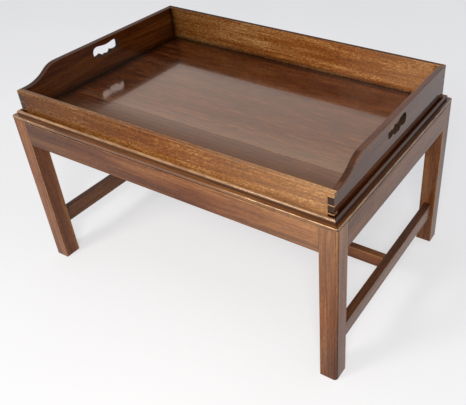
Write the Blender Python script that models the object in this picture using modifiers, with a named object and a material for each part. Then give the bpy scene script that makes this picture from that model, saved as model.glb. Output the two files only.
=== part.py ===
"""A tray table: a dovetailed butler's tray that sits inside a moulded rim on a low stand.

Metres, Z up. The origin is on the floor, under the middle of the stand. X runs along the length and Y
runs from the low front board to the high back board. The tray lifts straight up off the stand.
"""

from math import acos, atan2, cos, pi, radians, sin, sqrt

import bmesh
import bpy
from mathutils import Matrix, Vector

# Fits and cuts
GAP = 0.0003                  # left between pieces that touch
OVERRUN = 0.005               # how far a cutter passes the face that it cuts
SAME_PLACE = 0.00001          # points closer than this are one point

# Stand as a whole
STAND_LENGTH = 0.892
STAND_WIDTH = 0.594
FRAME_HEIGHT = 0.428          # floor to the top of the legs and rails

# Legs
LEG_SIDE = 0.042
LEG_OVOLO = 0.0056            # width of the worked corner on each face
LEG_FILLET = 0.0011           # step at each side of the ovolo
LEG_EASE = 0.0008             # the other three arrises
LEG_FOOT_EASE = 0.0012
OVOLO_STEPS = 6

# Rails
RAIL_HEIGHT = 0.0646
RAIL_THICKNESS = 0.022
RAIL_EASE = 0.0008
RAIL_QUIRK_HEIGHT = 0.0022    # groove under the rim
RAIL_QUIRK_DEPTH = 0.0017
RAIL_TENON_THICKNESS = 0.008
RAIL_TENON_SET_IN = 0.008     # face of the rail to face of the tenon
RAIL_TENON_LENGTH = 0.024
RAIL_TENON_SHOULDER = 0.008

# Rim moulding
RIM_WIDTH = 0.018
RIM_EDGE_HEIGHT = 0.0067      # underside to the flat
RIM_ARRIS_RADIUS = 0.0008
RIM_FLAT_WIDTH = 0.0098
RIM_FLAT_HOLLOW = 0.0003
RIM_QUIRK_WIDTH = 0.0011
RIM_QUIRK_DEPTH = 0.0008
RIM_BEAD_RADIUS = 0.004
RIM_BEAD_RISE = 0.0106        # flat to the top of the bead
ARRIS_STEPS = 3
HOLLOW_STEPS = 4
BEAD_STEPS = 12

# Stretchers
STRETCHER_TOP = 0.130         # floor to the top of all three
STRETCHER_EASE = 0.001
SIDE_STRETCHER_HEIGHT = 0.0395
SIDE_STRETCHER_THICKNESS = 0.021
SIDE_STRETCHER_SET_IN = 0.008 # face of the leg to face of the stretcher
SIDE_TENON_THICKNESS = 0.008
SIDE_TENON_HEIGHT = 0.028
SIDE_TENON_LENGTH = 0.020
MIDDLE_STRETCHER_HEIGHT = 0.033
MIDDLE_STRETCHER_THICKNESS = 0.020
MIDDLE_TENON_THICKNESS = 0.008
MIDDLE_TENON_HEIGHT = 0.023
MIDDLE_TENON_LENGTH = 0.014

# Ledgers and corner braces inside the rails
LEDGER_WIDTH = 0.018
LEDGER_HEIGHT = 0.020
BRACE_THICKNESS = 0.020
BRACE_HEIGHT = 0.034

# Wood screws
SCREW_LENGTH = 0.032
SCREW_SHANK_RADIUS = 0.0021
SCREW_HEAD_RADIUS = 0.0041
SCREW_HEAD_HEIGHT = 0.0030
SCREW_TIP_LENGTH = 0.005
SCREW_SLOT_WIDTH = 0.0010
SCREW_SLOT_DEPTH = 0.0011
SCREW_SIDES = 12
LONG_LEDGER_SCREW_SHARES = (-0.4, 0, 0.4)     # places along the ledger's length
SHORT_LEDGER_SCREW_SHARES = (-0.32, 0.32)
BRACE_SCREW_SHARES = (-0.27, 0.27)            # places in the brace's height

# Tray
TRAY_END_PLAY = 0.0015        # rim to tray, at each end
TRAY_SIDE_PLAY = 0.0032       # rim to tray, front and back
FRONT_HEIGHT = 0.0687         # underside to top of the front board
BACK_HEIGHT = 0.0999
BOARD_THICKNESS = 0.013       # front and back boards
END_THICKNESS = 0.014         # end boards
TOP_ROUND = 0.002             # radius along the top edges
ROUND_STEPS = 3
FLOOR_THICKNESS = 0.007
FLOOR_RISE = 0.0042           # underside of the boards to underside of the floor
GROOVE_DEPTH = 0.005
SEAM_FROM_FRONT = 0.1408      # outside of the tray to the joint between the floor boards

# Sweep of the end boards, from the low front to the high back
SWEEP_START = 0.022           # low level at the front
SWEEP_HOLLOW_RADIUS = 0.100
SWEEP_ROUND_RADIUS = 0.063
SWEEP_STEPS = 8

# Dovetails, whose tips show on the front and back boards
HALF_PIN_HEIGHT = 0.011
BOTTOM_TAIL_HEIGHT = 0.0177
DOVETAIL_PITCH = 0.020
PIN_TIP = 0.003               # height of a pin at the board's face
DOVETAIL_SLOPE_SHARE = 1 / 7

# Handholds, each a shaped slot in an end board
HANDHOLD_LENGTH = 0.090
HANDHOLD_HEIGHT = 0.0323
HANDHOLD_TOP_MARGIN = 0.0127  # highest point of the slot to the top of the board
HANDHOLD_STEPS = 5
# One half of the slot, from the middle of its top to the cusp in the middle of its bottom. Each row is a
# point and the handles that bend the line before and after it, in shares of half the length and of the
# height.
HANDHOLD_SHARES = (
    ((0, 0.882), (-0.2, 0.882), (0.2, 0.882)),
    ((0.69, 1), (0.5, 0.99), (0.86, 1.01)),
    ((1.01, 0.55), (1.02, 0.82), (1.005, 0.42)),
    ((0.978, 0.22), (0.985, 0.34), (0.93, 0.14)),
    ((0.756, 0.124), (0.85, 0.124), (0.6, 0.124)),
    ((0.4, 0.235), (0.47, 0.19), (0.37, 0.12)),
    ((0.178, 0), (0.29, 0), (0.09, 0)),
    ((0, 0.087), (0.03, 0.03), (-0.03, 0.03)),
)

# Sizes that follow from the ones above
RIM_SEAT = FRAME_HEIGHT + GAP
TRAY_SEAT = FRAME_HEIGHT + GAP
TRAY_LENGTH = STAND_LENGTH - 2 * (RIM_WIDTH + TRAY_END_PLAY)
TRAY_WIDTH = STAND_WIDTH - 2 * (RIM_WIDTH + TRAY_SIDE_PLAY)
INNER_LENGTH = TRAY_LENGTH - 2 * END_THICKNESS
INNER_WIDTH = TRAY_WIDTH - 2 * BOARD_THICKNESS
LEDGER_INSIDE = RAIL_THICKNESS + GAP + LEDGER_WIDTH

# Each side of the stand: the turn that brings it from the front, its length, and the depth behind it
SIDES = {
    "front": (0, STAND_LENGTH, STAND_WIDTH),
    "right": (pi / 2, STAND_WIDTH, STAND_LENGTH),
    "back": (pi, STAND_LENGTH, STAND_WIDTH),
    "left": (-pi / 2, STAND_WIDTH, STAND_LENGTH),
}

# The side of the stand that starts at each corner, going round to the left
CORNERS = {"front_left": "front", "front_right": "right", "back_right": "back", "back_left": "left"}

# Linear colour, roughness and metallic value of each material
FINISHES = {
    "mahogany_stand": ((0.165, 0.060, 0.026), 0.28, 0),
    "mahogany_rim": ((0.190, 0.075, 0.033), 0.25, 0),
    "mahogany_tray": ((0.215, 0.085, 0.033), 0.25, 0),
    "mahogany_floor": ((0.130, 0.045, 0.020), 0.12, 0),
    "oak_inside": ((0.310, 0.190, 0.095), 0.60, 0),
    "steel_screw": ((0.420, 0.410, 0.390), 0.35, 1),
}


def clear_scene():
    """Removes whatever the open file holds."""
    for item in list(bpy.data.objects):
        bpy.data.objects.remove(item, do_unlink=True)


def new_collection(name):
    """A collection of its own under the scene's."""
    group = bpy.data.collections.new(name)
    bpy.context.scene.collection.children.link(group)
    return group


def new_material(name, colour, roughness, metallic):
    """A Principled BSDF with one colour."""
    finish = bpy.data.materials.new(name)
    finish.use_nodes = True
    shader = finish.node_tree.nodes["Principled BSDF"]
    shader.inputs["Base Color"].default_value = (*colour, 1)
    shader.inputs["Roughness"].default_value = roughness
    shader.inputs["Metallic"].default_value = metallic
    finish.diffuse_color = (*colour, 1)
    return finish


clear_scene()
PARTS = new_collection("tray_table")
CUTTERS = new_collection("cutters")
MATERIALS = {name: new_material(name, *values) for name, values in FINISHES.items()}


def add_piece(name, mesh, place, finish):
    """A visible piece of the table."""
    piece = bpy.data.objects.new(name, mesh)
    piece.matrix_world = place
    if not mesh.materials:
        mesh.materials.append(MATERIALS[finish])
    PARTS.objects.link(piece)
    return piece


def add_cutter(name, mesh, place):
    """A helper shape that cuts a piece or is joined to it."""
    cutter = bpy.data.objects.new(name, mesh)
    cutter.matrix_world = place
    cutter.hide_render = True
    cutter.display_type = "WIRE"
    CUTTERS.objects.link(cutter)
    return cutter


def combine(piece, other, operation):
    """Cuts one piece by another shape, or joins the two."""
    modifier = piece.modifiers.new(operation.lower(), "BOOLEAN")
    modifier.operation = operation
    modifier.solver = "EXACT"
    modifier.object = other


def settle(piece):
    """The piece's mesh with its modifiers worked in."""
    bpy.context.view_layer.update()
    evaluated = piece.evaluated_get(bpy.context.evaluated_depsgraph_get())
    return bpy.data.meshes.new_from_object(evaluated)


def tidy_mesh(mesh):
    """Joins points that lie together, and flat faces side by side, and points the faces outwards."""
    work = bmesh.new()
    work.from_mesh(mesh)
    bmesh.ops.remove_doubles(work, verts=work.verts, dist=SAME_PLACE)
    bmesh.ops.dissolve_limit(work, angle_limit=radians(1), verts=work.verts, edges=work.edges)
    bmesh.ops.recalc_face_normals(work, faces=work.faces)
    work.to_mesh(mesh)
    work.free()
    return mesh


def box_mesh(name, size):
    """A box about its own middle."""
    mesh = bpy.data.meshes.new(name)
    work = bmesh.new()
    bmesh.ops.create_cube(work, size=1)
    bmesh.ops.scale(work, vec=size, verts=work.verts)
    work.to_mesh(mesh)
    work.free()
    return mesh


def slab_mesh(name, outlines, thickness):
    """Flat outlines in X and Y, made solid over the thickness, half of it on each side."""
    curve = bpy.data.curves.new(name, "CURVE")
    curve.dimensions = "2D"
    curve.fill_mode = "BOTH"
    curve.extrude = thickness / 2
    for outline in outlines:
        spline = curve.splines.new("POLY")
        spline.points.add(len(outline) - 1)
        for point, (across, up) in zip(spline.points, outline):
            point.co = (across, up, 0, 1)
        spline.use_cyclic_u = True
    flat = bpy.data.objects.new(name, curve)
    CUTTERS.objects.link(flat)
    mesh = settle(flat)
    bpy.data.objects.remove(flat)
    return tidy_mesh(mesh)


def round_edges(mesh, chosen, radius, steps):
    """Rounds the edges of a mesh for which chosen(one end, other end) is true."""
    work = bmesh.new()
    work.from_mesh(mesh)
    edges = [edge for edge in work.edges if chosen(edge.verts[0].co, edge.verts[1].co)]
    bmesh.ops.bevel(work, geom=edges, offset=radius, segments=steps, profile=0.5, affect="EDGES",
                    clamp_overlap=True, material=-1)
    work.to_mesh(mesh)
    work.free()
    return mesh


def smooth(mesh):
    """Shades a moulded or turned mesh smooth, with its arrises sharp."""
    mesh.shade_smooth()
    mesh.set_sharp_from_angle(angle=radians(35))
    return mesh


def arc(middle, radius, start, end, steps):
    """Points on a round stretch of an outline, both ends included."""
    turn = (end - start) / steps
    angles = [start + turn * step for step in range(steps + 1)]
    return [(middle[0] + radius * cos(angle), middle[1] + radius * sin(angle)) for angle in angles]


def eased_rectangle(width, height, ease):
    """A rectangle about its own middle, with its corners taken off."""
    across = width / 2
    up = height / 2
    return [(across - ease, -up), (across, -up + ease), (across, up - ease), (across - ease, up),
            (-across + ease, up), (-across, up - ease), (-across, -up + ease), (-across + ease, -up)]


def at(x, y, z):
    """A place without a turn."""
    return Matrix.Translation((x, y, z))


# Stands an outline up: its X turns to Y, its Y to Z, and its thickness runs along X.
UPRIGHT = Matrix(((0, 0, 1, 0), (1, 0, 0, 0), (0, 1, 0, 0), (0, 0, 0, 1)))


def side_frame(side):
    """X along a side of the stand from its middle, Y inwards from its face, Z up from the floor."""
    turn, _, depth = SIDES[side]
    return Matrix.Rotation(turn, 4, "Z") @ at(0, -depth / 2, 0)


def corner_frame(corner):
    """X and Y inwards from the outer corner of a leg, Z up from the floor."""
    turn, length, depth = SIDES[CORNERS[corner]]
    return Matrix.Rotation(turn, 4, "Z") @ at(-length / 2, -depth / 2, 0)


# Rails with their tenons

def clear_length(side):
    """Distance between the two legs of a side."""
    return SIDES[side][1] - 2 * LEG_SIDE


def rail_tenon(side, grow):
    """The bar whose ends are a rail's two tenons, grown on every face to cut the mortises."""
    size = (clear_length(side) + 2 * (RAIL_TENON_LENGTH + grow),
            RAIL_TENON_THICKNESS + 2 * grow,
            RAIL_HEIGHT - 2 * RAIL_TENON_SHOULDER + 2 * grow)
    inwards = RAIL_TENON_SET_IN + RAIL_TENON_THICKNESS / 2
    place = side_frame(side) @ at(0, inwards, FRAME_HEIGHT - RAIL_HEIGHT / 2)
    return add_cutter(f"rail_tenon_{side}", box_mesh("rail_tenon", size), place)


def rail(side):
    """One rail: eased below, with a small groove along its top under the rim."""
    groove = RAIL_HEIGHT - RAIL_QUIRK_HEIGHT
    outline = [(RAIL_EASE, 0), (RAIL_THICKNESS, 0), (RAIL_THICKNESS, RAIL_HEIGHT),
               (RAIL_QUIRK_DEPTH, RAIL_HEIGHT), (RAIL_QUIRK_DEPTH, groove), (0, groove), (0, RAIL_EASE)]
    mesh = slab_mesh("rail", [outline], clear_length(side) - 2 * GAP)
    place = side_frame(side) @ at(0, 0, FRAME_HEIGHT - RAIL_HEIGHT) @ UPRIGHT
    piece = add_piece(f"rail_{side}", mesh, place, "mahogany_stand")
    combine(piece, rail_tenon(side, 0), "UNION")
    return piece


# Stretchers with their tenons

def side_stretcher_place(side):
    """Middle of a side stretcher."""
    inwards = SIDE_STRETCHER_SET_IN + SIDE_STRETCHER_THICKNESS / 2
    return side_frame(side) @ at(0, inwards, STRETCHER_TOP - SIDE_STRETCHER_HEIGHT / 2)


def side_stretcher_tenon(side, grow):
    """The bar whose ends are a side stretcher's tenons."""
    size = (clear_length(side) + 2 * (SIDE_TENON_LENGTH + grow),
            SIDE_TENON_THICKNESS + 2 * grow,
            SIDE_TENON_HEIGHT + 2 * grow)
    mesh = box_mesh("side_stretcher_tenon", size)
    return add_cutter(f"side_stretcher_tenon_{side}", mesh, side_stretcher_place(side))


def side_stretcher(side):
    """A low rail between the two legs of one end."""
    outline = eased_rectangle(SIDE_STRETCHER_THICKNESS, SIDE_STRETCHER_HEIGHT, STRETCHER_EASE)
    mesh = slab_mesh("side_stretcher", [outline], clear_length(side) - 2 * GAP)
    piece = add_piece(f"side_stretcher_{side}", mesh, side_stretcher_place(side) @ UPRIGHT,
                      "mahogany_stand")
    combine(piece, side_stretcher_tenon(side, 0), "UNION")
    return piece


def middle_stretcher_length():
    """Distance between the two side stretchers."""
    return STAND_LENGTH - 2 * (SIDE_STRETCHER_SET_IN + SIDE_STRETCHER_THICKNESS)


def middle_stretcher_tenon(grow):
    """The bar whose ends are the middle stretcher's tenons."""
    size = (middle_stretcher_length() + 2 * (MIDDLE_TENON_LENGTH + grow),
            MIDDLE_TENON_THICKNESS + 2 * grow,
            MIDDLE_TENON_HEIGHT + 2 * grow)
    place = at(0, 0, STRETCHER_TOP - MIDDLE_STRETCHER_HEIGHT / 2)
    return add_cutter("middle_stretcher_tenon", box_mesh("middle_stretcher_tenon", size), place)


def middle_stretcher():
    """The low rail along the length, between the two side stretchers."""
    outline = eased_rectangle(MIDDLE_STRETCHER_THICKNESS, MIDDLE_STRETCHER_HEIGHT, STRETCHER_EASE)
    mesh = slab_mesh("middle_stretcher", [outline], middle_stretcher_length() - 2 * GAP)
    place = at(0, 0, STRETCHER_TOP - MIDDLE_STRETCHER_HEIGHT / 2) @ UPRIGHT
    piece = add_piece("middle_stretcher", mesh, place, "mahogany_stand")
    combine(piece, middle_stretcher_tenon(0), "UNION")
    return piece


# Legs

def leg_outline():
    """Section of a leg, with a quirked ovolo worked on its outer corner at the origin."""
    middle = (LEG_OVOLO, LEG_OVOLO)
    ovolo = arc(middle, LEG_OVOLO - LEG_FILLET, pi, 1.5 * pi, OVOLO_STEPS)
    far = LEG_SIDE - LEG_EASE
    eased = [(far, 0), (LEG_SIDE, LEG_EASE), (LEG_SIDE, far),
             (far, LEG_SIDE), (LEG_EASE, LEG_SIDE), (0, far)]
    return [(0, LEG_OVOLO)] + ovolo + [(LEG_OVOLO, 0)] + eased


def leg(corner):
    """One leg, with its foot eased."""
    mesh = slab_mesh("leg", [leg_outline()], FRAME_HEIGHT)
    foot = SAME_PLACE - FRAME_HEIGHT / 2
    round_edges(mesh, lambda one, other: max(one.z, other.z) < foot, LEG_FOOT_EASE, 1)
    place = corner_frame(corner) @ at(0, 0, FRAME_HEIGHT / 2)
    return add_piece(f"leg_{corner}", smooth(mesh), place, "mahogany_stand")


# Rim moulding

def rim_outline():
    """Section of the rim: outer arris, slightly hollow flat, quirk, and the bead beside the tray."""
    arris = arc((RIM_ARRIS_RADIUS, RIM_EDGE_HEIGHT - RIM_ARRIS_RADIUS), RIM_ARRIS_RADIUS, pi, pi / 2,
                ARRIS_STEPS)
    flat = RIM_FLAT_WIDTH - RIM_ARRIS_RADIUS
    hollow = []
    for step in range(1, HOLLOW_STEPS + 1):
        share = step / HOLLOW_STEPS
        drop = RIM_FLAT_HOLLOW * sin(pi * share)
        hollow.append((RIM_ARRIS_RADIUS + flat * share, RIM_EDGE_HEIGHT - drop))
    bottom = RIM_EDGE_HEIGHT - RIM_QUIRK_DEPTH
    riser = RIM_FLAT_WIDTH + RIM_QUIRK_WIDTH
    middle = (RIM_WIDTH - RIM_BEAD_RADIUS, RIM_EDGE_HEIGHT + RIM_BEAD_RISE - RIM_BEAD_RADIUS)
    out = middle[0] - riser
    start = pi + atan2(sqrt(RIM_BEAD_RADIUS ** 2 - out ** 2), out)
    bead = arc(middle, RIM_BEAD_RADIUS, start, 0, BEAD_STEPS)
    return [(0, 0)] + arris + hollow + [(RIM_FLAT_WIDTH, bottom), (riser, bottom)] + bead + [(RIM_WIDTH, 0)]


def rim(side):
    """One length of the rim moulding, mitred at both ends."""
    mesh = slab_mesh("rim", [rim_outline()], SIDES[side][1])
    for vertex in mesh.vertices:
        shorten = vertex.co.x + GAP
        vertex.co.z += shorten if vertex.co.z < 0 else -shorten
    place = side_frame(side) @ at(0, 0, RIM_SEAT) @ UPRIGHT
    return add_piece(f"rim_{side}", smooth(mesh), place, "mahogany_rim")


# Ledgers and corner braces

def ledger_length(side):
    """A ledger runs from leg to leg."""
    return clear_length(side) - 2 * GAP


def ledger(side):
    """A strip inside a rail, flush with its top, that carries the edge of the tray."""
    mesh = box_mesh("ledger", (ledger_length(side), LEDGER_WIDTH, LEDGER_HEIGHT))
    inwards = LEDGER_INSIDE - LEDGER_WIDTH / 2
    place = side_frame(side) @ at(0, inwards, FRAME_HEIGHT - LEDGER_HEIGHT / 2)
    return add_piece(f"ledger_{side}", mesh, place, "oak_inside")


def brace_middle_height():
    """Half way between the bottom of the rails and the underside of the ledgers."""
    return (2 * FRAME_HEIGHT - RAIL_HEIGHT - LEDGER_HEIGHT) / 2


def brace_reach():
    """Along X plus Y from the outer corner: to the brace's face at the leg, and to its inner face."""
    near = 2 * LEG_SIDE + GAP * sqrt(2)
    return near, near + BRACE_THICKNESS * sqrt(2)


def corner_brace(corner):
    """A block across the corner behind a leg, from rail to rail."""
    near, far = brace_reach()
    end = RAIL_THICKNESS + GAP
    outline = [(near - end, end), (far - end, end), (end, far - end), (end, near - end)]
    mesh = slab_mesh("corner_brace", [outline], BRACE_HEIGHT)
    place = corner_frame(corner) @ at(0, 0, brace_middle_height())
    return add_piece(f"corner_brace_{corner}", mesh, place, "oak_inside")


# Screws

def screw_profile(grow, lift):
    """Half the outline of a countersunk screw, from the middle of its head down to its point."""
    shank = SCREW_SHANK_RADIUS + grow
    head = SCREW_HEAD_RADIUS + grow
    end = SCREW_LENGTH + grow
    points = [(0, lift), (head, lift)]
    if lift:
        points.append((head, 0))
    return points + [(shank, -SCREW_HEAD_HEIGHT), (shank, SCREW_TIP_LENGTH - end), (0, -end)]


def turned_mesh(name, profile):
    """A profile turned about Z."""
    mesh = bpy.data.meshes.new(name)
    edges = [(number, number + 1) for number in range(len(profile) - 1)]
    mesh.from_pydata([(radius, 0, height) for radius, height in profile], edges, [])
    blank = bpy.data.objects.new(name, mesh)
    CUTTERS.objects.link(blank)
    turning = blank.modifiers.new("turning", "SCREW")
    turning.steps = SCREW_SIDES
    turning.render_steps = SCREW_SIDES
    turning.use_merge_vertices = True
    turning.merge_threshold = SAME_PLACE
    turned = settle(blank)
    bpy.data.objects.remove(blank)
    return turned


def screw_mesh():
    """A wood screw with its slot, its head at the origin and its point down."""
    blank = add_piece("screw_blank", turned_mesh("screw", screw_profile(0, 0)), Matrix(), "steel_screw")
    slot_size = (2 * (SCREW_HEAD_RADIUS + OVERRUN), SCREW_SLOT_WIDTH, 2 * SCREW_SLOT_DEPTH)
    slot = add_cutter("screw_slot", box_mesh("screw_slot", slot_size), Matrix())
    combine(blank, slot, "DIFFERENCE")
    finished = settle(blank)
    bpy.data.objects.remove(blank)
    bpy.data.objects.remove(slot)
    return smooth(finished)


SCREW_MESH = screw_mesh()
SCREW_HOLE_MESH = turned_mesh("screw_hole", screw_profile(GAP, OVERRUN))


def screw(name, head, pointing_back, pieces):
    """A screw with its head at a place, and its hole in each of the pieces that it holds together."""
    turn = pointing_back.to_track_quat("Z", "Y").to_matrix().to_4x4()
    place = Matrix.Translation(head) @ turn
    add_piece(name, SCREW_MESH, place, "steel_screw")
    hole = add_cutter(f"hole_of_{name}", SCREW_HOLE_MESH, place)
    for piece in pieces:
        combine(piece, hole, "DIFFERENCE")


def ledger_screws(strips, rails):
    """Screws through each ledger into its rail."""
    number = 0
    height = FRAME_HEIGHT - LEDGER_HEIGHT / 2
    for side in SIDES:
        frame = side_frame(side)
        shares = LONG_LEDGER_SCREW_SHARES if side in ("front", "back") else SHORT_LEDGER_SCREW_SHARES
        for share in shares:
            number += 1
            head = frame @ Vector((share * ledger_length(side), LEDGER_INSIDE, height))
            inwards = frame.to_3x3() @ Vector((0, 1, 0))
            screw(f"ledger_screw_{number}", head, inwards, [strips[side], rails[side]])


def brace_screws(braces, legs):
    """Two screws through each corner brace into its leg."""
    number = 0
    middle = brace_reach()[1] / 2
    for corner in CORNERS:
        frame = corner_frame(corner)
        for share in BRACE_SCREW_SHARES:
            number += 1
            height = brace_middle_height() + share * BRACE_HEIGHT
            head = frame @ Vector((middle, middle, height))
            inwards = frame.to_3x3() @ Vector((1, 1, 0))
            screw(f"brace_screw_{number}", head, inwards, [braces[corner], legs[corner]])


# Tray

def tail_spans(height):
    """Bottom and top of each dovetail at its tip, on a corner of this height, lowest first."""
    spread = height - HALF_PIN_HEIGHT - BOTTOM_TAIL_HEIGHT
    count = max(1, round(spread / DOVETAIL_PITCH))
    pitch = spread / count
    spans = [(-OVERRUN, BOTTOM_TAIL_HEIGHT)]
    for number in range(count):
        low = BOTTOM_TAIL_HEIGHT + number * pitch + PIN_TIP
        spans.append((low, low + pitch - PIN_TIP))
    return spans


def wedge(low, high, lean, near, far):
    """A dovetail's outline: how far in from the board's face, and how high. It narrows inwards by lean."""
    return [(near, low + lean * near), (far, low + lean * far),
            (far, high - lean * far), (near, high - lean * near)]


def faces_out(mesh, place):
    """Moves the mesh itself to its place, which may mirror it, and points its faces outwards again."""
    mesh.transform(place)
    return tidy_mesh(mesh)


def tail_sockets(name, height, side, outwards):
    """Cutter for the sockets at one end of the front or back board."""
    far = BOARD_THICKNESS + OVERRUN
    outlines = [wedge(low - GAP, high + GAP, DOVETAIL_SLOPE_SHARE, -OVERRUN, far)
                for low, high in tail_spans(height)]
    depth = END_THICKNESS + GAP
    mesh = slab_mesh("tail_sockets", outlines, depth + OVERRUN)
    middle = outwards * (TRAY_LENGTH / 2 - (depth - OVERRUN) / 2)
    turn = Matrix.Diagonal((1, -side, 1, 1))
    place = at(middle, side * TRAY_WIDTH / 2, TRAY_SEAT) @ turn @ UPRIGHT
    return add_cutter(name, faces_out(mesh, place), Matrix())


def pin_slots(name, height, side, end):
    """Cutter for the slots between the dovetails at one end of an end board."""
    spans = tail_spans(height)
    outlines = []
    for number, (_, low) in enumerate(spans):
        high = spans[number + 1][0] if number + 1 < len(spans) else height + OVERRUN
        outlines.append(wedge(low, high, -DOVETAIL_SLOPE_SHARE, -OVERRUN, BOARD_THICKNESS + GAP))
    mesh = slab_mesh("pin_slots", outlines, END_THICKNESS + 2 * OVERRUN)
    turn = Matrix.Diagonal((1, -side, 1, 1))
    place = at(end_place(end), side * TRAY_WIDTH / 2, TRAY_SEAT) @ turn @ UPRIGHT
    return add_cutter(name, faces_out(mesh, place), Matrix())


def end_place(end):
    """X of the middle of the left (-1) or right (1) end board."""
    return end * (TRAY_LENGTH - END_THICKNESS) / 2


def floor_groove():
    """Cutter for the groove that the floor sits in, all round the tray."""
    reach = GROOVE_DEPTH + GAP
    size = (INNER_LENGTH + 2 * reach, INNER_WIDTH + 2 * reach, FLOOR_THICKNESS + 2 * GAP)
    place = at(0, 0, TRAY_SEAT + FLOOR_RISE + FLOOR_THICKNESS / 2)
    return add_cutter("floor_groove", box_mesh("floor_groove", size), place)


def long_board(name, height, side, groove):
    """The front board (side -1) or the back board (side 1), rounded along the top and socketed."""
    mesh = box_mesh(name, (TRAY_LENGTH, BOARD_THICKNESS, height))
    top = height / 2 - SAME_PLACE
    round_edges(mesh, lambda one, other: min(one.z, other.z) > top, TOP_ROUND, ROUND_STEPS)
    place = at(0, side * (TRAY_WIDTH - BOARD_THICKNESS) / 2, TRAY_SEAT + height / 2)
    board = add_piece(name, smooth(mesh), place, "mahogany_tray")
    combine(board, groove, "DIFFERENCE")
    for end in (-1, 1):
        combine(board, tail_sockets(f"{name}_sockets_{end}", height, side, end), "DIFFERENCE")
    return board


def end_outline():
    """Outline of an end board without its joints: Y from its front end, Z from its underside."""
    turn = acos(1 - (BACK_HEIGHT - FRONT_HEIGHT) / (SWEEP_HOLLOW_RADIUS + SWEEP_ROUND_RADIUS))
    hollow = arc((SWEEP_START, FRONT_HEIGHT + SWEEP_HOLLOW_RADIUS), SWEEP_HOLLOW_RADIUS,
                 -pi / 2, turn - pi / 2, SWEEP_STEPS)
    finish = SWEEP_START + (SWEEP_HOLLOW_RADIUS + SWEEP_ROUND_RADIUS) * sin(turn)
    crown = arc((finish, BACK_HEIGHT - SWEEP_ROUND_RADIUS), SWEEP_ROUND_RADIUS,
                pi / 2 + turn, pi / 2, SWEEP_STEPS)
    return ([(0, 0), (0, FRONT_HEIGHT)] + hollow + crown[1:]
            + [(TRAY_WIDTH, BACK_HEIGHT), (TRAY_WIDTH, 0)])


def bend(start, leaving, arriving, end, steps):
    """Points along a smooth stretch between two ends and their handles, the first end left out."""
    points = []
    for step in range(1, steps + 1):
        share = step / steps
        rest = 1 - share
        weights = (rest ** 3, 3 * rest ** 2 * share, 3 * rest * share ** 2, share ** 3)
        ends = (start, leaving, arriving, end)
        points.append(tuple(sum(weight * point[axis] for weight, point in zip(weights, ends))
                            for axis in (0, 1)))
    return points


def handhold_outline():
    """The slot, about the middle of its length and up from its lowest point."""
    half = [HANDHOLD_SHARES[0][0]]
    for here, there in zip(HANDHOLD_SHARES, HANDHOLD_SHARES[1:]):
        half += bend(here[0], here[2], there[1], there[0], HANDHOLD_STEPS)
    mirrored = [(-across, up) for across, up in reversed(half[1:-1])]
    return [(across * HANDHOLD_LENGTH / 2, up * HANDHOLD_HEIGHT) for across, up in half + mirrored]


def handhold(name, end):
    """Cutter for the handhold of one end board."""
    mesh = slab_mesh("handhold", [handhold_outline()], END_THICKNESS + 2 * OVERRUN)
    low = TRAY_SEAT + BACK_HEIGHT - HANDHOLD_TOP_MARGIN - HANDHOLD_HEIGHT
    place = at(end_place(end), 0, low) @ UPRIGHT
    return add_cutter(name, mesh, place)


def end_board(name, end, groove):
    """The left (end -1) or right (end 1) board, swept along the top, with dovetails and a handhold."""
    mesh = slab_mesh(name, [end_outline()], END_THICKNESS)
    low = FRONT_HEIGHT - SAME_PLACE
    round_edges(mesh, lambda one, other: min(one.y, other.y) > low and abs(one.z - other.z) < SAME_PLACE,
                TOP_ROUND, ROUND_STEPS)
    place = at(end_place(end), -TRAY_WIDTH / 2, TRAY_SEAT) @ UPRIGHT
    board = add_piece(name, smooth(mesh), place, "mahogany_tray")
    combine(board, groove, "DIFFERENCE")
    combine(board, pin_slots(f"{name}_slots_front", FRONT_HEIGHT, -1, end), "DIFFERENCE")
    combine(board, pin_slots(f"{name}_slots_back", BACK_HEIGHT, 1, end), "DIFFERENCE")
    combine(board, handhold(f"{name}_handhold", end), "DIFFERENCE")
    return board


def floor_board(name, front, back):
    """One board of the floor, from one Y to another."""
    size = (INNER_LENGTH + 2 * GROOVE_DEPTH, back - front, FLOOR_THICKNESS)
    place = at(0, (front + back) / 2, TRAY_SEAT + FLOOR_RISE + FLOOR_THICKNESS / 2)
    return add_piece(name, box_mesh(name, size), place, "mahogany_floor")


def tray():
    """All pieces of the tray."""
    groove = floor_groove()
    reach = INNER_WIDTH / 2 + GROOVE_DEPTH
    seam = SEAM_FROM_FRONT - TRAY_WIDTH / 2
    return [
        long_board("tray_front_board", FRONT_HEIGHT, -1, groove),
        long_board("tray_back_board", BACK_HEIGHT, 1, groove),
        end_board("tray_end_left", -1, groove),
        end_board("tray_end_right", 1, groove),
        floor_board("tray_floor_front", -reach, seam - GAP / 2),
        floor_board("tray_floor_back", seam + GAP / 2, reach),
    ]


def hang_on_lift(pieces):
    """Parents the tray to an empty on the line along which it lifts."""
    lift = bpy.data.objects.new("tray_lift", None)
    lift.location = (0, 0, TRAY_SEAT)
    PARTS.objects.link(lift)
    bpy.context.view_layer.update()
    for piece in pieces:
        piece.parent = lift
        piece.matrix_parent_inverse = lift.matrix_world.inverted()


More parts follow.
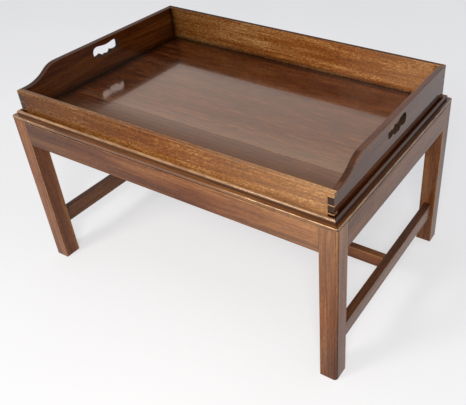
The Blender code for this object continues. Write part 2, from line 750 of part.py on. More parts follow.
def stand():
    """All pieces of the stand."""
    rails = {side: rail(side) for side in SIDES}
    legs = {corner: leg(corner) for corner in CORNERS}
    strips = {side: ledger(side) for side in SIDES}
    braces = {corner: corner_brace(corner) for corner in CORNERS}
    stretchers = [side_stretcher(side) for side in ("left", "right")]
    middle_stretcher()
    socket = middle_stretcher_tenon(GAP)
    for piece in stretchers:
        combine(piece, socket, "DIFFERENCE")
    for side in SIDES:
        rim(side)
        mortise = rail_tenon(side, GAP)
        for corner, piece in legs.items():
            if side in corner:
                combine(piece, mortise, "DIFFERENCE")
    for side in ("left", "right"):
        mortise = side_stretcher_tenon(side, GAP)
        for corner, piece in legs.items():
            if side in corner:
                combine(piece, mortise, "DIFFERENCE")
    ledger_screws(strips, rails)
    brace_screws(braces, legs)


stand()
hang_on_lift(tray())
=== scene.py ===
# %% [markdown]
# # A tray table in French polished mahogany
#
# A low stand carries a moulded rim, and a dovetailed tray sits inside that rim and lifts straight off.
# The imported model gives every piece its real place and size. This lesson gives the pieces their look:
# rounded arrises, fine mouldings, polished wood and soft studio light.
#
# Lengths are in metres. X runs along the table, Y from the low front board to the tall back board, Z up.

# %% Load the frame
from math import atan2, cos, pi, radians, sin, sqrt

import bmesh
import bpy
from mathutils import Matrix, Vector


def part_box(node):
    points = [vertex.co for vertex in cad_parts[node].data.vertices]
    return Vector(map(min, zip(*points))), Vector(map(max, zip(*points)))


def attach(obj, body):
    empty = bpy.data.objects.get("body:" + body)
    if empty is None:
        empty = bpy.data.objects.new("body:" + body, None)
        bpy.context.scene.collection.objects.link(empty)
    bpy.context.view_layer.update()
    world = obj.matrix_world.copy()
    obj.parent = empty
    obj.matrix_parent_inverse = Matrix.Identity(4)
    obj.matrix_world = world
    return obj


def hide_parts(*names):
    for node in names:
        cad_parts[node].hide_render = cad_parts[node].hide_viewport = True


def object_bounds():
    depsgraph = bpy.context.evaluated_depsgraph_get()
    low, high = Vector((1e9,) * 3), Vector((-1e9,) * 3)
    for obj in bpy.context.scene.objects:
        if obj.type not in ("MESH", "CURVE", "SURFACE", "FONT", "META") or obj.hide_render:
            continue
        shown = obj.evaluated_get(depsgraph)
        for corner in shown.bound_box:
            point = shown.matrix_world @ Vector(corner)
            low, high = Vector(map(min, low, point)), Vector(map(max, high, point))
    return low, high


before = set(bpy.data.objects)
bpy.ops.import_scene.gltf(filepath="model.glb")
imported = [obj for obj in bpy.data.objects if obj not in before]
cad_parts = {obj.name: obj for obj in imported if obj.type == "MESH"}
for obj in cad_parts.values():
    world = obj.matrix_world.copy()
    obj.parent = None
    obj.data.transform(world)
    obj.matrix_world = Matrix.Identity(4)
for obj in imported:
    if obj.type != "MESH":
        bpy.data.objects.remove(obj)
CAD_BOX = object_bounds()
MM = 0.001
print("nodes:", len(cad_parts), "box:", [round(edge, 4) for corner in CAD_BOX for edge in corner])

# %% [markdown]
# ## The camera
#
# A photograph of a box-shaped thing fixes the camera: its edges run to three vanishing points. A camera
# could be set by eye, but then no edge would quite meet its twin. The place, the turn and the focal
# length below come from two dozen corners of the table instead. The photograph's optical centre isn't
# the middle of its frame, and a small shift of the lens takes care of that.

# %% Camera
PHOTO_WIDTH, PHOTO_HEIGHT = 466, 405
FOCAL_PIXELS = 634.16
OPTICAL_CENTRE = (319.67, 197.37)
SENSOR_WIDTH = 36
CAMERA_PLACE = (0.8707, -1.0886, 1.1703)
CAMERA_TURN = (0.937, 0.0092, 0.522)

lens = bpy.data.cameras.new("camera")
lens.sensor_fit = "HORIZONTAL"
lens.sensor_width = SENSOR_WIDTH
lens.lens = FOCAL_PIXELS * SENSOR_WIDTH / PHOTO_WIDTH
lens.shift_x = (PHOTO_WIDTH / 2 - OPTICAL_CENTRE[0]) / PHOTO_WIDTH
lens.shift_y = (OPTICAL_CENTRE[1] - PHOTO_HEIGHT / 2) / PHOTO_WIDTH
camera = bpy.data.objects.new("camera", lens)
camera.location = CAMERA_PLACE
camera.rotation_euler = CAMERA_TURN
bpy.context.scene.collection.objects.link(camera)
bpy.context.scene.camera = camera
bpy.context.scene.view_settings.view_transform = "Standard"
print("lens:", round(lens.lens, 2), "mm")

# %% [markdown]
# ## Three small helpers for materials
#
# Colours are easiest to choose as sRGB hex values, but Blender's sockets hold linear light, so one
# function turns one into the other. Another adds a node: its plain settings, the values or links of its
# sockets, and the colours of a ramp. The third starts an empty material.


# %% Colour and node helpers
def linear(hex_colour):
    """An sRGB hex value as linear red, green and blue with full alpha."""
    parts = [int(hex_colour[start:start + 2], 16) / 255 for start in (1, 3, 5)]
    return (*[part / 12.92 if part <= 0.04045 else ((part + 0.055) / 1.055) ** 2.4 for part in parts], 1)


def put(tree, kind, sockets=None, stops=(), **settings):
    """A new node. A socket's value is a number, a colour or the output that feeds it."""
    node = tree.nodes.new(f"ShaderNode{kind}")
    for name, value in settings.items():
        setattr(node, name, value)
    for name, value in (sockets or {}).items():
        if isinstance(value, bpy.types.NodeSocket):
            tree.links.new(value, node.inputs[name])
        else:
            node.inputs[name].default_value = value
    for number, (place, colour) in enumerate(stops):
        if number > 1:
            node.color_ramp.elements.new(place)
        node.color_ramp.elements[number].position = place
        node.color_ramp.elements[number].color = colour
    return node


def blank_material(name):
    """A material with an empty node tree."""
    material = bpy.data.materials.new(name)
    material.use_nodes = True
    material.node_tree.nodes.clear()
    return material


print("middle grey in linear light:", round(linear("#808080")[0], 3))

# %% [markdown]
# ## The studio
#
# The table stands on seamless pale paper. Stronger lamps could make that paper white, but they would
# bleach the wood. So the paper gets a little light of its own, which the Light Path node shows only to
# the camera and to shiny surfaces. It is added to the paper's plain shading and not mixed with it, so
# that the shadow of the table stays whole.

# %% Floor
FLOOR_RADIUS = 14.0
FLOOR_SIDES = 96
PAPER_LIFT = 0.52


def in_sight(tree):
    """1 for rays from the camera, off a shiny surface or through glass, and 0 for all others."""
    path = put(tree, "LightPath")
    seen = put(
        tree, "Math", {0: path.outputs["Is Camera Ray"], 1: path.outputs["Is Glossy Ray"]},
        operation="MAXIMUM")
    seen = put(
        tree, "Math", {0: seen.outputs[0], 1: path.outputs["Is Transmission Ray"]}, operation="MAXIMUM")
    return seen.outputs[0]


paper = blank_material("matt_backdrop_paper")
tree = paper.node_tree
spot = put(tree, "TexCoord")
cloud = put(tree, "TexNoise", {"Vector": spot.outputs["Object"], "Scale": 0.9, "Detail": 1.0})
tint = put(
    tree, "ValToRGB", {"Fac": cloud.outputs["Fac"]},
    stops=((0.3, linear("#acaeb0")), (0.7, linear("#b4b6b8"))))
sheet = put(tree, "BsdfPrincipled", {
    "Base Color": tint.outputs["Color"], "Roughness": 0.9, "Specular IOR Level": 0.1})
lift = put(tree, "Math", {0: in_sight(tree), 1: PAPER_LIFT}, operation="MULTIPLY")
glow = put(tree, "Emission", {"Color": linear("#fafafc"), "Strength": lift.outputs[0]})
lit_sheet = put(tree, "AddShader", {0: sheet.outputs[0], 1: glow.outputs[0]})
put(tree, "OutputMaterial", {"Surface": lit_sheet.outputs[0]})

work = bmesh.new()
bmesh.ops.create_circle(work, cap_ends=True, segments=FLOOR_SIDES, radius=FLOOR_RADIUS)
floor_mesh = bpy.data.meshes.new("studio_floor")
work.to_mesh(floor_mesh)
work.free()
studio_floor = bpy.data.objects.new("studio_floor", floor_mesh)
floor_mesh.materials.append(paper)
bpy.context.scene.collection.objects.link(studio_floor)
print("floor:", 2 * FLOOR_RADIUS, "m across")

# %% [markdown]
# The right-hand faces and the floor of the tray look grey because their polish mirrors a pale room. Walls
# could be built for that, but a plain world does the same. The Light Path node shows camera and polish a
# nearly white one, and lets it light the table itself less.

# %% World
ROOM = "#f4f5f6"
FILL = "#f8f9ff"
FILL_STRENGTH = 0.42
world = bpy.data.worlds.new("studio")
bpy.context.scene.world = world
world.use_nodes = True
tree = world.node_tree
tree.nodes.clear()
wall = put(tree, "Background", {"Color": linear(ROOM), "Strength": 1.0})
fill = put(tree, "Background", {"Color": linear(FILL), "Strength": FILL_STRENGTH})
mixed = put(tree, "MixShader", {0: in_sight(tree), 1: fill.outputs[0], 2: wall.outputs[0]})
put(tree, "OutputWorld", {"Surface": mixed.outputs[0]})
print("fill light from the room:", FILL_STRENGTH)

# %% [markdown]
# ## Two lamps
#
# Each leg throws two faint shadows on the floor, so two soft lamps stood in front, one left and one
# right. One lamp with a bigger panel would be simpler, but it would throw only one shadow. Front faces
# are about twice as light as right-hand faces, and the powers follow from that.

# %% Lamps
TABLE_MIDDLE = Vector((0, 0, 0.4))
PANEL = (0.8, 0.6)
WARM_WHITE = "#fff8ee"
LEFT_POWER, RIGHT_POWER = 34, 48


def soft_box(name, place, power):
    """A soft rectangular lamp, aimed at the table, that the camera doesn't see."""
    light = bpy.data.lights.new(name, "AREA")
    light.shape = "RECTANGLE"
    light.size, light.size_y = PANEL
    light.energy = power
    light.color = linear(WARM_WHITE)[:3]
    lamp = bpy.data.objects.new(name, light)
    lamp.location = place
    lamp.rotation_euler = (TABLE_MIDDLE - Vector(place)).to_track_quat("-Z", "Y").to_euler()
    lamp.visible_camera = False
    bpy.context.scene.collection.objects.link(lamp)


soft_box("front_left_lamp", (-0.9, -2.3, 2.0), LEFT_POWER)
soft_box("front_right_lamp", (1.3, -2.0, 2.1), RIGHT_POWER)
print("lamps:", LEFT_POWER, "and", RIGHT_POWER, "watts")

# %% [markdown]
# ## Mahogany
#
# Mahogany shows four things to the eye: broad bands along the board where the grain turns, fine
# streaks, short dark pores, and on some boards a mottle of small flecks. A picture of a board could be
# wrapped round each piece, but the figure would jump at every arris.
#
# So the figure lives in the board's own space, which a Mapping node turns so that X runs along the
# grain. The same turn tells which faces are end grain. They drink more polish and are darker.

# %% Board space
TURNS = {"x": (0, 0, 0), "y": (0, 0, -pi / 2), "z": (0, pi / 2, 0), "corner": (0, 0, -pi / 4)}
END_FACING = (0.55, 0.85)
END_SHARE = 0.8


def board_space(tree, along):
    """Object coordinates turned so that X runs along the grain, and how much a face is end grain."""
    spot = put(tree, "TexCoord")
    board = put(tree, "Mapping", {"Vector": spot.outputs["Object"], "Rotation": TURNS[along]})
    facing = put(
        tree, "Mapping", {"Vector": spot.outputs["Normal"], "Rotation": TURNS[along]}, vector_type="NORMAL")
    split = put(tree, "SeparateXYZ", {0: facing.outputs[0]})
    end = put(tree, "Math", {0: split.outputs[0]}, operation="ABSOLUTE")
    end = put(tree, "MapRange", {
        "Value": end.outputs[0], "From Min": END_FACING[0], "From Max": END_FACING[1], "To Max": END_SHARE})
    return board.outputs[0], end.outputs[0]


def grain(tree, space, length, width, detail, roughness=0.55):
    """Noise whose spots are this long along the grain and this wide across it, in millimetres."""
    finer = (1 / (length * MM), 1 / (width * MM), 1 / (width * MM))
    stretched = put(tree, "VectorMath", {0: space, 1: finer}, operation="MULTIPLY")
    noise = put(tree, "TexNoise", {
        "Vector": stretched.outputs[0], "Scale": 1.0, "Detail": detail, "Roughness": roughness})
    return noise.outputs["Fac"]


# %% [markdown]
# All four patterns are noise, stretched along the grain by real sizes. Such a pattern goes right through
# the wood, as grain does, and the end grain comes out as spots. The pores of real mahogany are a fifth
# of a millimetre wide. They are drawn three to five times as wide, so that they still show at the
# distance of the photograph.

# %% The figure of a board
BANDS = dict(length=420, width=24, detail=2)
STREAKS = dict(length=120, width=2.4, detail=3)
STREAK_SHARE = 0.42
SWAY = 12 * MM
SWAY_SCALE = 5.0
PORE_EDGES = (0.55, 0.7)
PORE_SHARE = 0.7


def figured_wood(tree, along, shades, swing, end_grain, mottle, pore):
    """The colour of a board, its swaying space, and the height of its grain.

    swing is how far the figure goes to reach the first and the last shade. mottle is a share, a length
    and a width, and pore a length and a width, in millimetres."""
    space, end = board_space(tree, along)
    sway = put(tree, "TexNoise", {"Vector": space, "Scale": SWAY_SCALE, "Detail": 1.0})
    sway = put(tree, "VectorMath", {0: sway.outputs["Color"], 1: (0.5, 0.5, 0.5)}, operation="SUBTRACT")
    sway = put(tree, "VectorMath", {0: sway.outputs[0], 1: (0, SWAY, SWAY)}, operation="MULTIPLY")
    space = put(tree, "VectorMath", {0: space, 1: sway.outputs[0]}, operation="ADD").outputs[0]

    bands = grain(tree, space, **BANDS)
    streaks = grain(tree, space, **STREAKS)
    share, length, width = mottle
    flecks = grain(tree, space, length, width, detail=4, roughness=0.7)
    pores = grain(tree, space, *pore, detail=1)
    figure = put(tree, "Mix", {0: STREAK_SHARE, 2: bands, 3: streaks})
    figure = put(tree, "Mix", {0: share, 2: figure.outputs[0], 3: flecks})
    places = (0.5 - swing, 0.5, 0.5 + swing)
    wood = put(
        tree, "ValToRGB", {"Fac": figure.outputs[0]},
        stops=[(place, linear(shade)) for place, shade in zip(places, shades)])
    dark = put(tree, "MapRange", {
        "Value": pores, "From Min": PORE_EDGES[0], "From Max": PORE_EDGES[1], "To Max": PORE_SHARE})
    wood = put(
        tree, "Mix", {0: dark.outputs[0], 6: wood.outputs[0], 7: linear(end_grain)}, data_type="RGBA")
    wood = put(tree, "Mix", {0: end, 6: wood.outputs[2], 7: linear(end_grain)}, data_type="RGBA")
    dips = put(tree, "Mix", {0: 0.5, 2: streaks, 3: pores})
    return wood.outputs[2], space, dips.outputs[0]


# %% [markdown]
# ## Age
#
# Old furniture is never one colour. A painted map could say where it has aged, but a map belongs to one
# shape. Two attributes of the mesh say it here, and the tools that shape a piece write them. They also
# carry painted light and shade.
#
# Tone multiplies the wood's colour. Above 1 it stands for fading, which also turns mahogany paler and
# greyer, together with a painted glare of the lamps. Where wear is above zero, as on the arrises, the
# polish is rubbed through to paler wood, in patches, which also paints in a highlight. Where it is below
# zero the wood is darker and duller; in quirks, handholds and other hollows that darkening is painted
# shade.

# %% Fading, rubbing and dirt, with painted glare, highlight and shade
# This pale colour is faded wood and also a painted glare of the lamps, mixed in where the tone climbs above
# 1 at the light ends of the boards.
FADED_AND_GLARE = "#c8b898"
FADED_AND_GLARE_FROM, FADED_AND_GLARE_TO = 1.0, 1.5
FADED_AND_GLARE_SHARE = 0.24
# This pale colour is wood rubbed through, and on the arrises and the bead also a painted highlight.
RUBBED_AND_HIGHLIGHT = "#d9b07e"
PATCHES = dict(length=26, width=9, detail=3)
PATCH_EDGES = (0.38, 0.56)
RUBBED_LEAST = 0.35
# This dark colour goes where wear is below zero; in quirks, the groove, the handholds, the foot of the
# bead, on the stretcher tops and under the tray it is painted shade.
GRIME_AND_SHADE = "#0e0704"


def age(tree, wood, space, wear_and_shade):
    """The wood's colour after its tone and its wear, with painted light and shade, and how much it is
    darkened and dulled.
    """
    tone = put(tree, "Attribute", attribute_name="tone")
    wood = put(tree, "VectorMath", {0: wood, "Scale": tone.outputs["Fac"]}, operation="SCALE")
    fading_and_glare = put(tree, "MapRange", {
        "Value": tone.outputs["Fac"], "From Min": FADED_AND_GLARE_FROM, "From Max": FADED_AND_GLARE_TO, "To Max": FADED_AND_GLARE_SHARE})
    wood = put(tree, "Mix", {0: fading_and_glare.outputs[0], 6: wood.outputs[0], 7: linear(FADED_AND_GLARE)}, data_type="RGBA")
    patches = grain(tree, space, **PATCHES)
    rubbed_and_highlight = put(tree, "MapRange", {
        "Value": patches, "From Min": PATCH_EDGES[0], "From Max": PATCH_EDGES[1], "To Min": RUBBED_LEAST})
    rubbed_and_highlight = put(tree, "Math", {0: rubbed_and_highlight.outputs[0], 1: wear_and_shade}, operation="MULTIPLY", use_clamp=True)
    wood = put(tree, "Mix", {0: rubbed_and_highlight.outputs[0], 6: wood.outputs[2], 7: linear(RUBBED_AND_HIGHLIGHT)}, data_type="RGBA")
    grime_and_shade = put(tree, "MapRange", {"Value": wear_and_shade, "From Min": 0.0, "From Max": -1.0})
    wood = put(tree, "Mix", {0: grime_and_shade.outputs[0], 6: wood.outputs[2], 7: linear(GRIME_AND_SHADE)}, data_type="RGBA")
    return wood.outputs[2], grime_and_shade.outputs[0]


# %% [markdown]
# ## French polish
#
# The real finish is many thin coats of shellac, rubbed on with a pad. The colour lies in the wood and
# the shine in the film over it, so the wood goes into the base colour and the film into roughness, index
# and coat. The film is a little uneven, and the grain shows through it as faint relief.

# %% Polish
SHELLAC_IOR = 1.5
POOLING = dict(length=60, width=40, detail=2)
POOLING_EDGES = (0.3, 0.7)
GLOSS_SWING = (0.85, 1.2)
DIRT_ROUGHNESS = 0.95
FILM_ROUGHNESS = 0.05
FILM_GONE = -0.5
RELIEF_DEPTH = 0.05 * MM
RELIEF_STRENGTH = 0.3


def mahogany(name, along, shades, end_grain, gloss, index, swing=0.12, mottle=(0.15, 12, 3),
             pore=(11, 0.6), glint="#ffffff", coat=0.0):
    """Polished mahogany. gloss is its roughness, and coat the weight of a second film."""
    material = blank_material(f"polished_{name}_along_{along}")
    tree = material.node_tree
    wear_and_shade = put(tree, "Attribute", attribute_name="wear_and_shade").outputs["Fac"]
    wood, space, dips = figured_wood(tree, along, shades, swing, end_grain, mottle, pore)
    wood, grime_and_shade = age(tree, wood, space, wear_and_shade)
    pooling = grain(tree, space, **POOLING)
    shine = put(tree, "MapRange", {
        "Value": pooling, "From Min": POOLING_EDGES[0], "From Max": POOLING_EDGES[1],
        "To Min": gloss * GLOSS_SWING[0], "To Max": gloss * GLOSS_SWING[1]})
    shine = put(tree, "Mix", {0: grime_and_shade, 2: shine.outputs[0], 3: DIRT_ROUGHNESS})
    relief = put(tree, "Bump", {"Height": dips, "Distance": RELIEF_DEPTH, "Strength": RELIEF_STRENGTH})
    polish = put(tree, "BsdfPrincipled", {
        "Base Color": wood, "Roughness": shine.outputs[0], "IOR": index, "Specular Tint": linear(glint),
        "Coat Weight": coat, "Coat IOR": SHELLAC_IOR, "Coat Roughness": FILM_ROUGHNESS,
        "Normal": relief.outputs[0]})
    if coat:
        film = put(tree, "MapRange", {
            "Value": wear_and_shade, "From Min": FILM_GONE, "From Max": 0.0, "To Max": coat})
        tree.links.new(film.outputs[0], polish.inputs["Coat Weight"])
    put(tree, "OutputMaterial", {"Surface": polish.outputs[0]})
    return material


# %% [markdown]
# Shellac's index of refraction is 1.5. Each board starts there and is then matched to how much of the
# pale room it mirrors. The dry polish of the stand and of the tray's long boards mirrors less, the floor
# of the tray more, with a second film on top that dirt takes away. The end boards are the smoothest. The
# glint is the tint of what a board mirrors.

# %% Five finishes
MAHOGANY = {
    "mahogany_stand": dict(
        shades=("#5a2e14", "#814b27", "#a46d40"), end_grain="#2f160b", mottle=(0.2, 12, 3), gloss=0.26,
        index=1.35),
    "mahogany_rim": dict(
        shades=("#45210b", "#683815", "#8f5b28"), end_grain="#2e160c", gloss=0.14, index=1.55),
    "mahogany_tray": dict(
        shades=("#572b0e", "#884e1c", "#c69a62"), end_grain="#2c150c", swing=0.13,
        mottle=(0.45, 7, 2.4), pore=(8, 0.9), gloss=0.28, index=1.22),
    "mahogany_ends": dict(
        shades=("#331406", "#54270d", "#764319"), end_grain="#241109", gloss=0.06, index=1.42,
        glint="#ffe6d2"),
    "mahogany_floor": dict(
        shades=("#250e05", "#4b2510", "#73411f"), end_grain="#1d0a04", swing=0.11,
        mottle=(0.55, 45, 6), pore=(22, 1.1), gloss=0.14, index=2.1, glint="#ffb884", coat=0.5),
}
print("mahogany finishes:", ", ".join(MAHOGANY))

# %% [markdown]
# ## Bare oak
#
# The ledgers and corner braces are out of sight, so the maker left them as they came from the plane:
# pale, open grained and dull. One flat colour would nearly do, but the lifted tray bares them. Oak shows
# its rings as bands and its open vessels as dark dashes. The vessels are drawn nearly three times as
# wide as real ones, so that they show.

# %% Oak
OAK_SHADES = ((0.35, "#91683d"), (0.5, "#ad824e"), (0.65, "#c59a63"))
OAK_RINGS = dict(length=380, width=9, detail=3)
OAK_VESSELS = dict(length=14, width=0.8, detail=2)
VESSEL_SHARE = 0.5
OAK_ROUGHNESS = 0.65
PLANED_DEPTH = 0.1 * MM


def oak(along):
    """Planed oak without polish: long open grain, quite rough."""
    material = blank_material(f"planed_oak_along_{along}")
    tree = material.node_tree
    space, end = board_space(tree, along)
    rings = grain(tree, space, **OAK_RINGS)
    vessels = grain(tree, space, **OAK_VESSELS)
    wood = put(
        tree, "ValToRGB", {"Fac": rings}, stops=[(place, linear(shade)) for place, shade in OAK_SHADES])
    open_grain = put(tree, "MapRange", {
        "Value": vessels, "From Min": PORE_EDGES[0], "From Max": PORE_EDGES[1], "To Max": VESSEL_SHARE})
    wood = put(
        tree, "Mix", {0: open_grain.outputs[0], 6: wood.outputs[0], 7: linear("#5d4226")}, data_type="RGBA")
    wood = put(tree, "Mix", {0: end, 6: wood.outputs[2], 7: linear("#7a5a38")}, data_type="RGBA")
    relief = put(tree, "Bump", {"Height": vessels, "Distance": PLANED_DEPTH, "Strength": 0.5})
    plain = put(tree, "BsdfPrincipled", {
        "Base Color": wood.outputs[2], "Roughness": OAK_ROUGHNESS, "Specular IOR Level": 0.3,
        "Normal": relief.outputs[0]})
    put(tree, "OutputMaterial", {"Surface": plain.outputs[0]})
    return material


# %% [markdown]
# ## Plain steel
#
# The wood screws are plain drawn steel, dulled by age, which gives a soft grey shine with a faint bloom.
# A plain grey metal would look new, so a little noise changes both its colour and its roughness.

# %% Steel
BLOOM_SCALE = 900.0
STEEL_ROUGHNESS = (0.3, 0.55)


def steel():
    """Drawn steel with a dull bloom, in patches of about a millimetre."""
    material = blank_material("drawn_steel")
    tree = material.node_tree
    spot = put(tree, "TexCoord")
    bloom = put(tree, "TexNoise", {"Vector": spot.outputs["Object"], "Scale": BLOOM_SCALE, "Detail": 3.0})
    metal = put(
        tree, "ValToRGB", {"Fac": bloom.outputs["Fac"]},
        stops=((0.35, linear("#6f6a62")), (0.65, linear("#a8a49b"))))
    dull = put(tree, "MapRange", {
        "Value": bloom.outputs["Fac"], "To Min": STEEL_ROUGHNESS[0], "To Max": STEEL_ROUGHNESS[1]})
    plain = put(tree, "BsdfPrincipled", {
        "Base Color": metal.outputs[0], "Metallic": 1.0, "Roughness": dull.outputs[0]})
    put(tree, "OutputMaterial", {"Surface": plain.outputs[0]})
    return material


made = {}


def finish_for(name, along):
    """A finish with its grain along x, y, z or across a corner, made once."""
    key = (name, along)
    if key not in made:
        if name in MAHOGANY:
            made[key] = mahogany(name, along, **MAHOGANY[name])
        elif name == "oak_inside":
            made[key] = oak(along)
        else:
            made[key] = steel()
    return made[key]


# %% [markdown]
# ## A joiner's moves in bmesh
#
# A stick of moulding is a section drawn out along its length. The section starts as one point: straight
# moves add corners, and a round part is that last point spun about a centre. Filled and extruded, it is
# the stick. Booleans could cut the same forms, but they leave slivers where faces nearly meet.


# %% Sections
def section(work, start, moves):
    """Fills a closed outline in X and Y. A move is a corner, or a centre, an angle and steps."""
    first = last = work.verts.new((*start, 0))
    for move in moves:
        if len(move) == 2:
            corner = work.verts.new((*move, 0))
            work.edges.new((last, corner))
            last = corner
        else:
            x, y, angle, steps = move
            spun = bmesh.ops.spin(work, geom=[last], cent=(x, y, 0), axis=(0, 0, 1), angle=angle,
                                  steps=steps)
            last = next(item for item in spun["geom_last"] if isinstance(item, bmesh.types.BMVert))
    work.edges.new((last, first))
    bmesh.ops.edgeloop_fill(work, edges=work.edges[:])


def draw_out(work, length):
    """Extrudes the flat section along Z, half its length on each side."""
    drawn = bmesh.ops.extrude_face_region(work, geom=work.faces[:])
    moved = [item for item in drawn["geom"] if isinstance(item, bmesh.types.BMVert)]
    bmesh.ops.translate(work, vec=(0, 0, length), verts=moved)
    bmesh.ops.translate(work, vec=(0, 0, -length / 2), verts=work.verts)
    bmesh.ops.recalc_face_normals(work, faces=work.faces)


# %% [markdown]
# No arris of the table is sharp: a rounded one is what catches the light on polished work. A Bevel modifier
# could round them, but the operator also gives back the faces that it made, and those are the ones that get
# rubbed. Their paler colour is also a painted highlight. How rubbed goes into the wear attribute, and so
# does the darkening in the hollows, which is painted shade.

# %% Arrises and wear
EASE_STEPS = 3
RUBBED_ARRIS_AND_HIGHLIGHT = 0.6
SQUARE_ON = 0.999
LEVEL = 0.99
SIDEWAYS = 0.5
ARRIS_ANGLE = radians(30)


def middle_of(face):
    """The middle of a face."""
    return face.calc_center_median()


def wear_and_shade_layer(work):
    """The face layer that says where a piece is rubbed, partly as a painted highlight (above 0), and where
    it is darker and duller, mostly as painted shade (below 0).
    """
    return work.faces.layers.float.get("wear_and_shade") or work.faces.layers.float.new("wear_and_shade")


def ease(work, chosen, radius, steps=EASE_STEPS, rubbed_and_highlight=RUBBED_ARRIS_AND_HIGHLIGHT):
    """Rounds the edges for which chosen(edge) is true, and notes how rubbed the new faces are."""
    layer = wear_and_shade_layer(work)
    edges = [edge for edge in work.edges if edge.is_manifold and chosen(edge)]
    eased = bmesh.ops.bevel(work, geom=edges, offset=radius, offset_type="OFFSET", affect="EDGES",
                            segments=steps, profile=0.5, material=-1, clamp_overlap=True)
    for face in eased["faces"]:
        face[layer] = rubbed_and_highlight


def note_wear_and_shade(work, chosen, amount):
    """Notes wear and painted light and shade of the faces where chosen(face) is true: a number, or a
    function of the face.
    """
    layer = wear_and_shade_layer(work)
    for face in work.faces:
        if chosen(face):
            face[layer] = amount(face) if callable(amount) else amount


def runs_along(edge, axis):
    """Whether an edge lies along an axis, 0 to 2."""
    step = edge.verts[1].co - edge.verts[0].co
    return abs(step[axis]) > SQUARE_ON * step.length


def convex(edge):
    """Whether two faces meet at an outward arris."""
    return edge.calc_face_angle_signed() > ARRIS_ANGLE


def faces_up(face):
    """Whether a face looks straight up."""
    return face.normal.z > LEVEL


# %% [markdown]
# A mortise or a tenon is marked out with four knife cuts on one flat side, and the face between them is
# pulled out or pushed in. That is bisect_plane and extrude. The region's edges go in with its face, or
# the old face would stay behind as a wall inside the wood. A set could hold the parts of a region, but
# its order may change. dict.fromkeys also drops what is named twice, and every run makes the same mesh.

# %% Cuts and joints
KNIFE = 1e-7
SIDE_SLACK = 0.05 * MM


def slice_at(work, place, facing, **settings):
    """Cuts all faces along a plane. By itself that doesn't change the shape."""
    whole = work.verts[:] + work.edges[:] + work.faces[:]
    return bmesh.ops.bisect_plane(work, geom=whole, plane_co=place, plane_no=facing, **settings)


def joint(work, facing, low, high, depth):
    """Marks out low to high on the flat side that faces one way, and pulls it out by depth.

    A depth below zero pushes it in."""
    facing = Vector(facing)
    axis = max(range(3), key=lambda number: abs(facing[number]))
    others = [number for number in range(3) if number != axis]
    level = (low[axis] + high[axis]) / 2

    def on_side(face):
        return face.normal.dot(facing) > SQUARE_ON and abs(middle_of(face)[axis] - level) < SIDE_SLACK

    for other in others:
        for corner in (low, high):
            faces = [face for face in work.faces if on_side(face)]
            parts = dict.fromkeys(part for face in faces for part in (*face.verts, *face.edges))
            across = Vector((0, 0, 0))
            across[other] = 1
            bmesh.ops.bisect_plane(work, geom=faces + list(parts), plane_co=corner, plane_no=across,
                                   dist=KNIFE)
    inside = [face for face in work.faces if on_side(face)
              and all(low[other] < middle_of(face)[other] < high[other] for other in others)]
    region = dict.fromkeys(part for face in inside for part in (face, *face.edges))
    pushed = bmesh.ops.extrude_face_region(work, geom=list(region))
    moved = [item for item in pushed["geom"] if isinstance(item, bmesh.types.BMVert)]
    bmesh.ops.translate(work, vec=facing * depth, verts=moved)


# %% [markdown]
# ## A finished piece
#
# No two boards are alike, and old ones fade unevenly. Each piece carries the tone attribute, which runs
# evenly from one end of the board to the other. On the front rail, the front right leg and the tray's long
# boards it also paints light, lighter towards the right and the top. On the left of the back board, the
# left end board, the side stretchers and the right rim it paints shade. A piece may also get painted shade
# in single spots, as the tray does in its inside corners. Random tones would be quicker, but these follow
# the boards of the real table.

# %% Tone
# Runs that climb towards the right or the top of a front board are painted light, and above 1 painted
# glare. Low values on the left of the back board, the left end board, the side stretchers and the right rim
# are painted shade.
TONES_AND_LIGHT = {
    "leg_front_left": (0.97, 0.97),
    "leg_front_right": (0.76, 1.3),
    "leg_back_right": (0.8, 0.8),
    "rail_front": (0.5, 1.3),
    "rail_right": (0.75, 0.85),
    "rim_front": (1.15, 1.05),
    "rim_right": (0.6, 0.6),
    "side_stretcher_left": (0.65, 0.65),
    "side_stretcher_right": (0.75, 0.75),
    "tray_front_board": (0.5, 1.45),
    "tray_back_board": (0.4, 1.35),
    "tray_end_left": (0.6, 0.6),
    "tray_end_right": (1.0, 1.0),
    "tray_floor_front": (0.8, 1.0),
    "tray_floor_back": (0.8, 1.0),
}


def between(place, knots):
    """The value at a place on a line of knots, each of them a place and a value."""
    for (start, first), (stop, last) in zip(knots, knots[1:]):
        if place <= stop:
            return first + (last - first) * max(place - start, 0) / (stop - start)
    return last


def tone_piece(work, node, along, shade):
    """Writes how light a board is, evenly from one end to the other, times the painted shade of each spot.
    """
    layer = work.loops.layers.float.new("tone")
    axis = {"x": 0, "y": 1, "z": 2, "corner": 2}[along]
    places = [vert.co[axis] for vert in work.verts]
    start, length = min(places), max(places) - min(places)
    first, last = TONES_AND_LIGHT.get(node, (1, 1))
    for face in work.faces:
        for corner in face.loops:
            spot = corner.vert.co
            light = shade(face, spot) if shade else 1
            corner[layer] = (first + (last - first) * (spot[axis] - start) / length) * light


print("boards with a tone of their own:", len(TONES_AND_LIGHT))

# %% [markdown]
# A finished piece goes to its place in its own mesh, so its object stays at the origin and the grain
# stays in the wood. Smooth shading alone would make flat faces look swollen beside their small rounded
# arrises. More faces would cure that, but the Weighted Normal modifier does it without any.

# %% Finish a piece
SHARP_ANGLE = radians(38)


